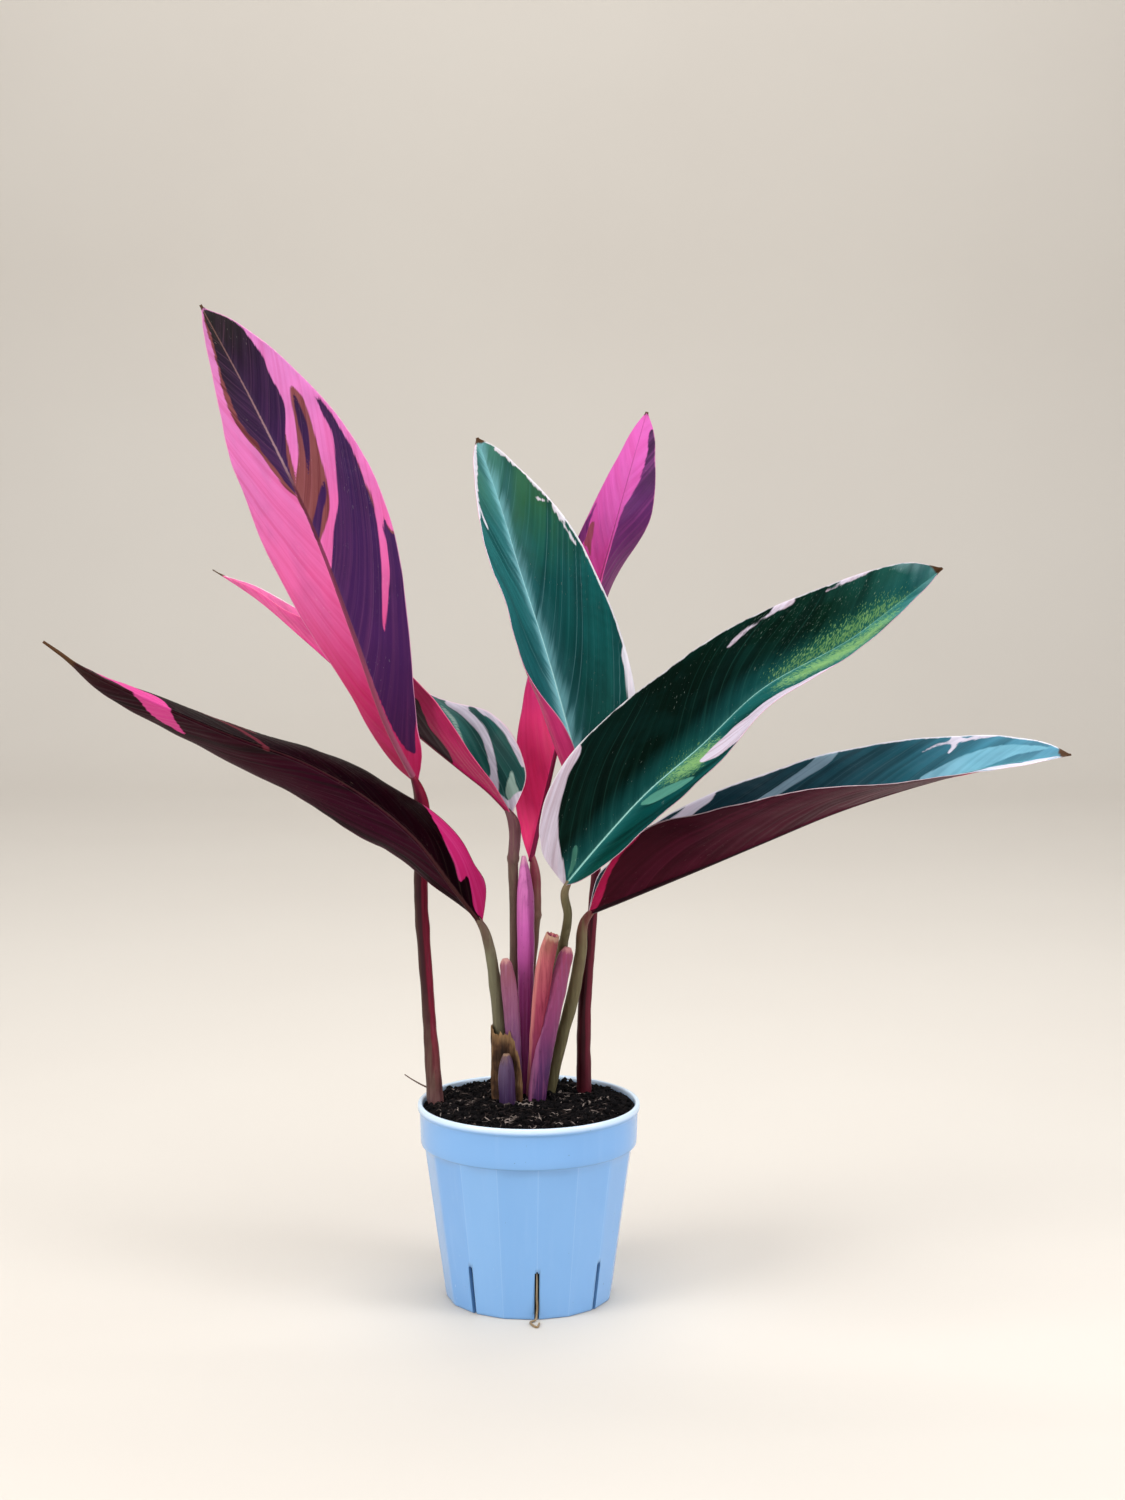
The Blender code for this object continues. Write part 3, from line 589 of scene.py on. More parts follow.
# marked areas of each blade
marksA = {
    "mid": [
        [(947, 54), (891, 64), (847, 72), (806, 70), (769, 60), (734, 46), (709, 34), (666, 24), (631, 15),
         (612, 2), (656, 4), (728, 16), (803, 22), (906, 18)],
        [(728, -22), (688, -14), (650, -7), (622, 1), (666, 2), (700, -8)],
        [(797, -72), (778, -76), (750, -72), (700, -58), (653, -48), (622, -42), (566, -29), (516, -2),
         (516, 1), (566, 1), (625, 1), (681, -24), (734, -42), (772, -56)],
        [(985, 20), (965, 60), (941, 66), (922, 50), (950, 30)],
        [(641, -90), (591, -86), (553, -86), (516, -84), (541, -80), (578, -80), (616, -82)],
        [(530, -90), (484, -94), (441, -99), (409, -100), (413, -94), (453, -92), (488, -88)],
    ],
    "dark": [
        [(990, -30), (972, 40), (928, 46), (872, 60), (828, 56), (791, 54), (753, 42), (728, 28), (703, 26),
         (675, 18), (634, 10), (612, 1), (628, 0), (666, -4), (691, -10), (722, -20), (753, -36),
         (772, -44), (800, -50), (828, -54), (872, -70), (903, -80), (938, -96), (969, -96)],
        [(784, -68), (769, -67), (725, -57), (694, -47), (663, -34), (638, -22), (666, -29), (697, -37),
         (741, -49), (763, -57)],
        [(619, -38), (591, -33), (562, -19), (519, 0), (547, 1), (569, -9), (594, -23)],
        [(763, -94), (722, -84), (688, -80), (656, -70), (609, -54), (572, -44), (553, -36), (522, -22),
         (466, -4), (453, 0), (384, 0), (303, 0), (194, -6), (94, -18), (56, -60), (88, -84), (200, -99),
         (328, -99), (400, -99), (440, -98), (475, -95), (500, -92), (490, -86), (456, -85), (422, -82),
         (403, -80), (370, -72), (320, -58), (306, -52), (330, -54), (375, -62), (420, -70), (469, -76),
         (516, -82), (566, -84), (606, -86), (641, -90), (681, -92), (716, -94)],
    ],
}
marksB = {
    "pale": [
        [(955, -88), (905, -52), (855, -24), (822, -4), (798, 22), (772, 52), (742, 66), (704, 70),
         (722, 42), (744, 4), (764, -34), (788, -60), (812, -78), (826, -99), (870, -99), (920, -99)],
        [(309, -100), (266, -98), (222, -92), (197, -66), (169, -50), (134, -40), (106, -26), (97, -36),
         (94, -54), (72, -40), (44, -14), (6, -60), (0, -100), (22, -100), (56, -100), (131, -100),
         (194, -100), (250, -100)],
    ],
    "mid": [
        [(800, -92), (730, -78), (670, -58), (615, -30), (566, 4), (560, -2), (604, -38), (660, -66),
         (724, -86)],
        [(700, -84), (640, -70), (590, -48), (586, -53), (636, -76), (690, -90)],
    ],
}
marksC = {
    "dark": [
        [(350, -70), (316, -56), (284, -40), (250, -34), (216, -24), (194, -4), (220, 0), (300, 0),
         (420, 0), (420, -50)],
    ],
    "pale": [
        [(345, 100), (291, 98), (278, 94), (234, 82), (194, 76), (156, 66), (122, 52), (94, 36), (62, 14),
         (72, 6), (97, 18), (112, 32), (147, 48), (188, 62), (234, 68), (288, 80), (340, 94)],
        [(320, 98), (247, 93), (194, 92), (141, 90), (112, 88), (81, 88), (60, 94), (60, 100), (109, 100),
         (194, 100), (256, 100), (320, 100)],
        [(91, 14), (62, 6), (31, 3), (0, 0), (0, 60), (9, 100), (19, 100), (30, 60), (28, 30), (41, 16),
         (69, 12)],
    ],
    "mid": [
        [(59, 40), (72, 60), (69, 66), (47, 62), (25, 78), (14, 50), (28, 26), (47, 26)],
        [(344, 84), (297, 70), (244, 50), (197, 32), (162, 14), (166, 10), (200, 26), (247, 44), (294, 62)],
    ],
}
marksD = {
    "pale": [
        [(450, 100), (400, 96), (350, 93), (300, 90), (250, 88), (200, 86), (150, 88), (150, 100),
         (240, 100), (340, 100)],
        [(990, -60), (960, -66), (928, -70), (880, -82), (856, -88), (800, -94), (800, -100), (900, -100),
         (985, -100)],
        [(794, 99), (741, 95), (686, 92), (684, 90), (738, 91), (791, 95)],
        [(850, -92), (822, -80), (775, -66), (782, -72), (825, -88)],
        [(960, 70), (944, 84), (913, 92), (878, 95), (800, 97), (800, 100), (900, 100), (960, 100)],
        [(819, 80), (803, 92), (800, 88), (809, 78)],
    ],
}
marksE = {
    "dark": [
        [(965, -68), (909, -54), (853, -40), (809, -20), (772, -8), (700, -6), (631, -8), (594, -34),
         (600, -99), (816, -99), (945, -99)],
        [(700, 100), (747, 96), (784, 90), (750, 82), (697, 72), (688, 84)],
        [(560, -60), (450, -75), (330, -85), (200, -90), (200, -100), (400, -100), (580, -100)],
    ],
    "mid": [[(694, 70), (734, 76), (741, 70), (738, 62), (700, 50), (666, 38), (684, 56)]],
}
marksF = {
    "pale": [
        [(245, -95), (194, -88), (169, -83), (122, -75), (78, -61), (47, -42), (12, -18), (0, -100),
         (28, -100), (81, -100), (178, -100), (235, -100)],
        [(576, -80), (616, -88), (664, -95), (716, -99), (716, -95), (664, -90), (618, -84), (580, -77)],
        [(792, -92), (828, -97), (862, -99), (915, -100), (884, -96), (842, -92), (816, -91)],
        [(395, 34), (430, 28), (480, 32), (530, 42), (580, 54), (630, 66), (680, 80), (730, 94), (745, 100),
         (600, 100), (540, 100), (480, 88), (430, 62)],
    ],
    "lime": [
        [(303, 4), (341, 1), (391, 1), (438, 16), (450, 34), (400, 50), (350, 40), (322, 24)],
        [(600, -6), (680, -18), (760, -26), (840, -26), (900, -12), (900, 2), (753, 2), (650, 2)],
        [(600, 20), (688, 8), (784, 8), (860, 20), (880, 60), (800, 90), (709, 70), (640, 50)],
    ],
    "mid": [
        [(240, 12), (280, 16), (340, 40), (380, 66), (330, 60), (270, 36)],
        [(78, -30), (84, -25), (56, -14), (22, -8), (20, -14), (52, -22)],
    ],
}
marksG = {
    "pale": [
        [(185, -90), (253, -97), (303, -100), (355, -100), (316, -93), (281, -86), (247, -80)],
        [(724, -68), (759, -84), (781, -89), (794, -100), (802, -97), (831, -97), (872, -100), (900, -100),
         (856, -93), (825, -87), (803, -82), (796, -79), (786, -66), (776, -56), (773, -58), (782, -78),
         (764, -79)],
        [(772, 48), (819, 24), (856, 12), (900, 30), (938, 8), (980, 10), (953, 90), (897, 100), (853, 96),
         (791, 72)],
        [(0, 0), (26, 26), (52, 58), (84, 80), (120, 90), (170, 97), (170, 100), (90, 100), (0, 100)],
    ],
    "mid": [
        [(391, -64), (444, -74), (506, -88), (580, -98), (600, -98), (559, -86), (503, -72), (450, -62),
         (409, -56)],
        [(709, -12), (759, -30), (825, -54), (894, -68), (962, -68), (900, -30), (838, -4), (778, 0)],
    ],
}

# colours of each blade, both sides
crimsonToPink = [(0, (168, 20, 76)), (0.2, (202, 50, 110)), (0.42, (236, 104, 172)), (0.7, (230, 124, 196)),
                 (1, (214, 136, 200))]
creamTop = [(0, (206, 150, 160)), (0.3, (226, 210, 205)), (0.7, (228, 224, 208)), (1, (214, 206, 190))]
plainTop = {
    "ground": creamTop,
    "dark": (24, 68, 48),
    "darkStreak": (44, 96, 72),
    "mid": (128, 146, 112),
    "vein": (190, 205, 180),
    "fine": (30, 40, 34),
    "rib": (196, 206, 176),
    "edge": (235, 224, 220),
}
looksA = {
    "wave": 1.0,
    "under": {
        "ground": crimsonToPink,
        "dark": [(0, (54, 4, 54)), (0.3, (66, 24, 84)), (0.6, (58, 26, 80)), (0.9, (34, 18, 40)),
                 (1, (36, 34, 28))],
        "darkStreak": [(0, (78, 18, 74)), (0.35, (92, 50, 108)), (0.7, (76, 44, 96)), (1, (48, 44, 46))],
        "mid": (136, 74, 76), "midStreak": (94, 42, 48), "vein": (232, 150, 180), "veinPart": 0.4,
        "fine": (60, 30, 48), "line": (250, 176, 214), "linePart": 0.04, "cloudPart": 0.2, "fleckPart": 0.3,
        "rib": [(0, (150, 84, 108)), (0.45, (104, 44, 62)), (0.62, (92, 40, 56)), (0.68, (176, 140, 150)),
                (1, (150, 110, 100))],
        "ribWidth": 1.3, "edge": (240, 168, 206), "edgeWidth": 0.35, "dryFrom": 0.988,
    },
    "top": plainTop,
}
looksB = {
    "wave": 0.9,
    "under": {
        "ground": [(0, (26, 2, 10)), (0.35, (12, 0, 4)), (0.7, (14, 0, 5)), (0.88, (40, 8, 20)),
                   (1, (60, 44, 28))],
        "half": [(0, (48, 0, 18)), (0.3, (62, 2, 36)), (0.6, (56, 0, 26)), (0.85, (44, 2, 20)),
                 (1, (52, 36, 24))],
        "halfPart": 0.7, "band": (8, 0, 3), "bandPart": 0.75,
        "pale": [(0, (176, 30, 92)), (0.3, (190, 40, 110)), (0.8, (208, 68, 142))],
        "paleStreak": [(0, (206, 60, 130)), (0.8, (222, 88, 156))], "mid": (92, 32, 44),
        "vein": (150, 90, 110), "fine": (34, 2, 16), "finePart": 0.1, "line": (150, 116, 98),
        "linePart": 0.04, "cloudPart": 0.1, "veinPart": 0.15, "fleck": (156, 138, 116), "fleckPart": 0.25,
        "rib": (96, 60, 58), "ribWidth": 0.3, "ribPart": 0.4, "edge": (96, 30, 44), "edgeWidth": 0.3,
        "shine": 0.02, "dryFrom": 0.93,
    },
    "top": {
        "ground": [(0, (16, 58, 44)), (0.5, (14, 52, 40)), (1, (48, 80, 50))],
        "pale": (216, 206, 214), "mid": (120, 150, 118), "vein": (120, 150, 120), "fine": (30, 50, 40),
        "rib": (130, 160, 120), "feather": (70, 124, 96), "featherWidth": 5, "edge": (206, 200, 190),
    },
}
looksC = {
    "wave": 1.3,
    "under": {
        "ground": [(0, (168, 12, 84)), (0.35, (190, 18, 94)), (0.58, (232, 64, 146)), (1, (236, 104, 172))],
        "dark": (40, 6, 24), "vein": (190, 120, 140), "fine": (50, 14, 30), "rib": (110, 34, 56),
        "edge": (228, 110, 150), "edgeWidth": 0.4, "dryFrom": 0.965,
    },
    "top": {
        "ground": [(0, (30, 84, 76)), (0.15, (28, 84, 80)), (0.35, (50, 116, 112)), (0.55, (50, 112, 96)),
                   (0.62, (232, 84, 156)), (1, (226, 104, 160))],
        "band": [(0, (10, 56, 56)), (0.55, (16, 66, 62)), (0.62, (206, 44, 116)), (1, (190, 50, 110))],
        "bandPart": 0.75, "pale": (220, 210, 226), "paleStreak": (204, 186, 208), "mid": (150, 176, 166),
        "vein": (150, 180, 165), "fine": (40, 66, 66),
        "feather": [(0, (72, 138, 132)), (0.55, (72, 138, 132)), (0.62, (150, 24, 70)), (1, (130, 30, 60))],
        "featherWidth": 2.2, "line": (120, 176, 170), "linePart": 0.12,
        "rib": [(0, (140, 170, 150)), (0.55, (140, 170, 150)), (0.62, (120, 20, 56)), (1, (100, 40, 44))],
        "edge": (236, 208, 222), "edgeWidth": 0.7, "dryFrom": 0.965,
    },
}
looksD = {
    "wave": 1.0,
    "top": {
        "ground": [(0, (14, 80, 74)), (0.35, (26, 94, 98)), (0.75, (38, 104, 104)), (1, (70, 120, 96))],
        "half": [(0, (8, 60, 50)), (0.25, (18, 76, 68)), (0.42, (2, 72, 68)), (0.62, (6, 80, 78)),
                 (0.8, (44, 92, 56)), (1, (62, 112, 90))],
        "halfPart": 0.85, "band": (8, 62, 62), "bandPart": 0.6, "pale": (232, 222, 232),
        "vein": (120, 170, 168), "fine": (40, 92, 96), "finePart": 0.15, "veil": (98, 168, 178),
        "veilWidth": 6.0, "veilPart": 0.32, "feather": (156, 218, 226), "featherWidth": 3.2,
        "featherPart": 0.85, "line": (136, 196, 200), "linePart": 0.16, "ragged": 12,
        "rib": (190, 236, 232), "ribWidth": 0.5, "edge": (232, 228, 234), "edgeWidth": 0.8,
        "fleckPart": 0.25, "shine": 0.1,
    },
    "under": {
        "ground": [(0, (190, 36, 96)), (0.3, (200, 52, 116)), (0.5, (96, 18, 50)), (1, (50, 8, 28))],
        "pale": (226, 120, 180), "vein": (170, 110, 130), "fine": (50, 16, 30), "rib": (110, 44, 60),
        "edge": (220, 150, 180), "edgeWidth": 0.4,
    },
}
looksE = {
    "under": {
        "ground": [(0, (240, 54, 120)), (0.3, (240, 60, 130)), (0.5, (230, 58, 144)),
                   (0.75, (204, 82, 168)), (1, (214, 100, 182))],
        "dark": [(0, (70, 4, 38)), (0.5, (112, 26, 94)), (0.8, (90, 34, 96)), (1, (26, 10, 30))],
        "darkStreak": [(0, (110, 14, 58)), (0.5, (156, 54, 132)), (1, (116, 60, 126))],
        "mid": (150, 70, 92), "vein": (226, 150, 180), "cloudPart": 0.15, "fine": (50, 16, 34),
        "rib": (92, 24, 56), "ribWidth": 0.6, "edge": (216, 130, 180), "edgeWidth": 0.35, "dryFrom": 0.992,
    },
    "top": plainTop,
}
looksF = {
    "wave": 1.0,
    "top": {
        "ground": [(0, (6, 62, 52)), (0.3, (8, 66, 66)), (0.7, (30, 98, 94)), (0.93, (84, 150, 150)),
                   (1, (170, 204, 210))],
        "half": [(0, (2, 26, 20)), (0.5, (0, 20, 13)), (0.8, (4, 42, 30)), (0.93, (30, 84, 76)),
                 (1, (150, 190, 196))],
        "halfPart": 0.95, "halfSide": -1, "band": (1, 16, 12), "bandPart": 0.6, "pale": (220, 208, 226),
        "paleStreak": (216, 180, 200), "lime": (88, 156, 118), "limePart": 0.4, "speckle": (160, 204, 122),
        "specklePart": 0.6, "mid": (84, 146, 130), "vein": (130, 170, 156), "fine": (14, 56, 48),
        "finePart": 0.12, "veil": (34, 108, 108), "veilWidth": 7.0, "veilPart": 0.75,
        "feather": (110, 186, 180), "featherWidth": 0.6, "featherPart": 0.6, "line": (60, 124, 108),
        "linePart": 0.12, "ragged": 6, "rib": (178, 230, 222), "ribWidth": 0.5, "edge": (214, 214, 218),
        "edgeWidth": 0.4, "fleck": (190, 214, 200), "fleckPart": 0.35, "dust": (0.6, 0.92),
        "dustPart": 0.16, "cloudPart": 0.1, "shine": 0.04,
    },
    "under": {
        "ground": [(0, (176, 44, 92)), (0.25, (80, 12, 40)), (1, (44, 8, 26))],
        "pale": (226, 110, 170), "vein": (170, 110, 130), "fine": (50, 14, 30), "rib": (110, 44, 60),
        "edge": (206, 150, 176),
    },
}
looksG = {
    "wave": 1.2,
    "under": {
        "ground": [(0, (66, 4, 26)), (0.3, (56, 3, 24)), (0.7, (62, 7, 32)), (1, (90, 26, 44))],
        "band": (84, 14, 42), "bandPart": 0.45, "pale": (186, 22, 82), "paleStreak": (218, 52, 108),
        "vein": (150, 90, 110), "fine": (56, 8, 28), "finePart": 0.25, "rib": (20, 2, 10), "ribWidth": 1.2,
        "line": (120, 50, 74), "linePart": 0.08, "edge": (222, 200, 210), "edgeWidth": 0.4, "shine": 0.07,
        "dryFrom": 0.975,
    },
    "top": {
        "ground": [(0, (0, 42, 52)), (0.4, (0, 48, 60)), (0.68, (14, 82, 96)), (0.85, (60, 128, 150)),
                   (1, (96, 158, 184))],
        "band": (2, 40, 50), "bandPart": 0.4, "pale": (222, 214, 230),
        "mid": [(0, (120, 146, 160)), (0.6, (130, 160, 176)), (0.8, (112, 172, 192))],
        "vein": (120, 160, 165), "fine": (30, 80, 88), "finePart": 0.12, "feather": (84, 150, 162),
        "featherWidth": 2.4, "featherPart": 0.6, "line": (110, 166, 178), "linePart": 0.1,
        "rib": (150, 200, 200), "edge": (226, 222, 230), "edgeWidth": 0.7, "shine": 0.14, "dryFrom": 0.975,
    },
}
leaves = {
    "leaf_a": (leafA, marksA, looksA, 1.7),
    "leaf_b": (leafB, marksB, looksB, 12.3),
    "leaf_c": (leafC, marksC, looksC, 23.9),
    "leaf_d": (leafD, marksD, looksD, 34.1),
    "leaf_e": (leafE, marksE, looksE, 45.6),
    "leaf_f": (leafF, marksF, looksF, 56.2),
    "leaf_g": (leafG, marksG, looksG, 67.8),
}
for name, parts in leaves.items():
    makeLeaf(name, *parts)
print("blades made")


# stalks, sheaths and roots

def ringRadius(radius, angle, far, s, i, seed, shape):
    # one point's distance from the middle of a stalk or sheath
    for knot, swell in shape.get("knots", ()):
        radius *= 1 + swell * math.exp(-((far - knot * shape["length"]) / 1.4) ** 2)
    radius *= 1 + shape["ridges"] * math.sin(angle * 9 + 2 * noise.noise((i * 0.05, 0, seed)))
    spot = (math.cos(angle) * 0.8, math.sin(angle) * 0.8, far * 0.12 + seed)
    radius *= 1 + shape["lump"] * noise.noise(spot)
    if shape["seam"]:  # overlapping edge of a rolled sheath, running up its front
        radius *= 1 - shape["seam"] * ((angle / math.tau + 0.25 + 0.12 * math.sin(s * 2 + seed)) % 1.0)
    return radius


def tornMouth(lip, middle, ahead, ragged, seed):
    # ragged lip of an open end, then the inside wall going back down
    points = []
    for inward, down in ((0.0, 0.0), (0.12, 0.0), (0.26, 2.5), (0.5, 5.0)):
        for j, spot in enumerate(lip):
            tear = 0.2 + 0.9 * noise.noise((j * 0.35, seed, 4.4)) + 0.35 * noise.noise((j * 1.3, seed, 1.9))
            rise = (0 if down else ragged * tear) - down
            points.append(tuple((spot + (middle - spot) * inward + ahead * rise) * mm))
    return points


def tube(name, node, skin, stalk, form, seed):
    rings, sides, mouth = form["rings"], form["sides"], stalk.get("mouth", 0)
    s = np.linspace(0, 1, rings)
    spine, length = along(stalk["line"], s)
    centre, radius = spine[:, :3], spine[:, 3]
    shape = {"ridges": 0, "seam": 0, **form, "knots": stalk.get("knots", ()), "length": length}
    ahead = unit(np.gradient(centre, axis=0))
    guide = np.array([0.0, 1.0, 0.0]) if abs(ahead[0, 2]) > 0.3 else np.array([0.0, 0.0, 1.0])
    side = unit(np.cross(ahead, np.tile(guide, (rings, 1))))
    front = np.cross(side, ahead)
    points, turn, run = [], [], []
    for i in range(rings):
        for j in range(sides):
            angle = math.tau * j / sides
            r = ringRadius(radius[i], angle, s[i] * length, s[i], i, seed, shape)
            across, forth = r * math.cos(angle) * form.get("wide", 1), r * math.sin(angle)
            points.append(tuple((centre[i] + side[i] * across + front[i] * forth) * mm))
            turn.append(-math.cos(angle))
            run.append(s[i])
    if mouth:
        points += tornMouth(np.array(points[-sides:]) / mm, centre[-1], ahead[-1], mouth, seed)
        for k in range(4 * sides):  # the tone goes round faster on the torn lip
            turn.append(turn[k % sides - sides])
        run += [1.0] * (2 * sides) + [0.0] * (2 * sides)
        rings += 4
    tip = centre[-1] - ahead[-1] * (5.0 if mouth else 0.0)
    faces = gridFaces(rings, sides, wrap=True) + endCaps(rings, sides, len(points), len(points) + 1)
    points += [tuple(centre[0] * mm), tuple(tip * mm)]
    fields = {"along": run + [0, 0 if mouth else 1], "turn": turn + [0, 0]}
    piece = newPiece(name, points, faces, [skin], fields=fields)
    faceOutward(piece)
    settle(piece, node)


def stalkSkin(name, stalk, roughness=0.42):
    skin = Skin(name)
    skin.set("Specular IOR Level", 0.2)
    alongStalk, turn = skin.field("along"), skin.field("turn")
    streak = skin.noise(skin.place((800, 800, 30)))
    cloud = skin.noise(skin.place((70, 70, 70)))
    speck = skin.noise(skin.place((1100, 1100, 420)), detail=2)
    colour = skin.ramp(alongStalk + (cloud - 0.5) * 0.2, [(p, shade(*c)) for p, c in stalk["stops"]])
    if "flank" in stalk:  # right side of another tone, away from the foot
        side = (turn + (streak - 0.5) * 0.8).over(0.0, 0.35) * alongStalk.over(0.08, 0.35)
        colour = skin.mix(side * stalk["flankPart"], colour, shade(*stalk["flank"]))
    if "lit" in stalk:  # painted light: paler left side
        side = (turn * -1 + (streak - 0.5) * 0.6).over(0.45, 0.8)
        colour = skin.mix(side * 0.6, colour, shade(*stalk["lit"]))
    colour = skin.mix(streak.over(0.45, 0.68) * 0.5, colour, shade(*stalk["streak"]))
    colour = skin.mix(speck.over(0.66, 0.73) * 0.3, colour, shade(52, 30, 26))
    colour = skin.mix(cloud.over(0.5, 0.8) * 0.4, colour, shade(150, 140, 130), "MULTIPLY")
    if "lip" in stalk:  # dry pale end of a sheath
        lip = (alongStalk + (streak - 0.5) * 0.06).over(0.965, 0.99)
        colour = skin.mix(lip * 0.8, colour, shade(*stalk["lip"]))
    skin.set("Base Color", colour)
    skin.set("Roughness", roughness + (streak - 0.5) * 0.25)
    skin.bump(streak * 0.7 + speck * 0.3, 0.0004, 0.6)
    return skin


stalkForm = {"rings": 120, "sides": 28, "ridges": 0.012, "lump": 0.10}
stalks = {
    "stem_a": {
        "line": [(-43, 3, 72, 3.6), (-44, 3.4, 88, 3.9), (-47.6, 8, 139, 3.1), (-50.8, 10.6, 190, 3.3),
                 (-52, 8.6, 242.6, 2.4), (-54, 6.6, 248, 1.4)],
        "stops": [(0, (120, 84, 84)), (0.22, (92, 66, 58)), (0.4, (52, 20, 26)), (0.75, (46, 8, 20)),
                  (1, (116, 20, 52))],
        "streak": (66, 16, 28), "flank": (138, 10, 50), "flankPart": 0.7, "lit": (74, 52, 44),
    },
    "stem_b": {
        "line": [(-10.4, 4, 76, 2.8), (-10.9, 4, 92, 3.1), (-14.9, 2, 142, 3.1), (-17.4, 0, 162, 2.7),
                 (-21.4, -1.8, 177.6, 2.0), (-24.5, -4, 183, 1.3)],
        "stops": [(0, (78, 66, 50)), (0.5, (98, 92, 72)), (0.8, (108, 106, 84)), (1, (92, 60, 56))],
        "streak": (118, 112, 88),
    },
    "stem_c": {
        "line": [(-6.4, 11, 76, 2.0), (-7, 11, 140, 2.1), (-7, 10, 188, 2.1), (-7.3, 7.5, 205, 2.4),
                 (-7.8, 6.4, 228.2, 2.3), (-10, 7, 232, 1.4)],
        "stops": [(0, (86, 70, 60)), (0.5, (96, 74, 66)), (0.84, (104, 84, 74)), (0.88, (112, 74, 82)),
                  (1, (92, 56, 62))],
        "streak": (124, 98, 88), "knots": [(0.845, 0.22)],
    },
    "stem_d": {
        "line": [(25.4, 14, 70, 3.5), (26, 14, 84, 3.6), (26.8, 14, 139, 3.1), (29.2, 14.6, 168, 2.6),
                 (31.6, 14.6, 197, 2.3), (32.2, 14.2, 220.6, 1.9), (31.4, 14.6, 226, 1.2)],
        "stops": [(0, (100, 36, 46)), (0.25, (56, 8, 20)), (0.6, (38, 4, 14)), (1, (90, 10, 40))],
        "streak": (88, 26, 38), "flank": (120, 14, 46), "flankPart": 0.6, "lit": (104, 44, 54),
    },
    "stem_e": {
        "line": [(0.6, 14.5, 78, 1.6), (0.3, 14, 139, 1.8), (2.8, 14.4, 172, 2.3), (3.4, 14.2, 184, 2.6),
                 (2.6, 14.2, 204.4, 2.0), (1.8, 15, 209, 1.2)],
        "stops": [(0, (96, 58, 60)), (0.5, (110, 70, 70)), (0.78, (112, 86, 70)), (1, (150, 60, 84))],
        "streak": (140, 106, 90), "knots": [(0.78, 0.2)],
    },
    "stem_f": {
        "line": [(3.6, 8.4, 76, 1.8), (4.2, 8.4, 92, 1.9), (7.6, 7.8, 120, 1.9), (11.2, 6, 142, 2.0),
                 (14.2, 4.2, 160, 2.1), (17.2, -0.6, 174, 2.1), (18.4, -4, 184, 2.1),
                 (17.1, -5.2, 195.8, 1.8), (19, -5.8, 200, 1.3)],
        "stops": [(0, (98, 84, 66)), (0.6, (92, 84, 58)), (0.9, (84, 78, 52)), (1, (120, 104, 80))],
        "streak": (118, 108, 80), "knots": [(0.74, 0.15)],
    },
    "stem_g": {
        "line": [(9, 9.5, 76, 2.6), (9.4, 9.3, 90, 2.8), (15.2, 8.4, 120, 2.9), (20.5, 7, 141, 3.0),
                 (24.4, 5.6, 162, 2.8), (27, 4.5, 180.4, 2.0), (30, 3.4, 184.4, 1.3)],
        "stops": [(0, (84, 76, 52)), (0.55, (98, 90, 62)), (0.85, (112, 98, 72)), (1, (120, 60, 60))],
        "streak": (126, 118, 84),
    },
}
for count, (name, stalk) in enumerate(stalks.items()):
    tube(name + "_stalk", name, stalkSkin(name + "_skin", stalk), stalk, stalkForm, count * 3.7)

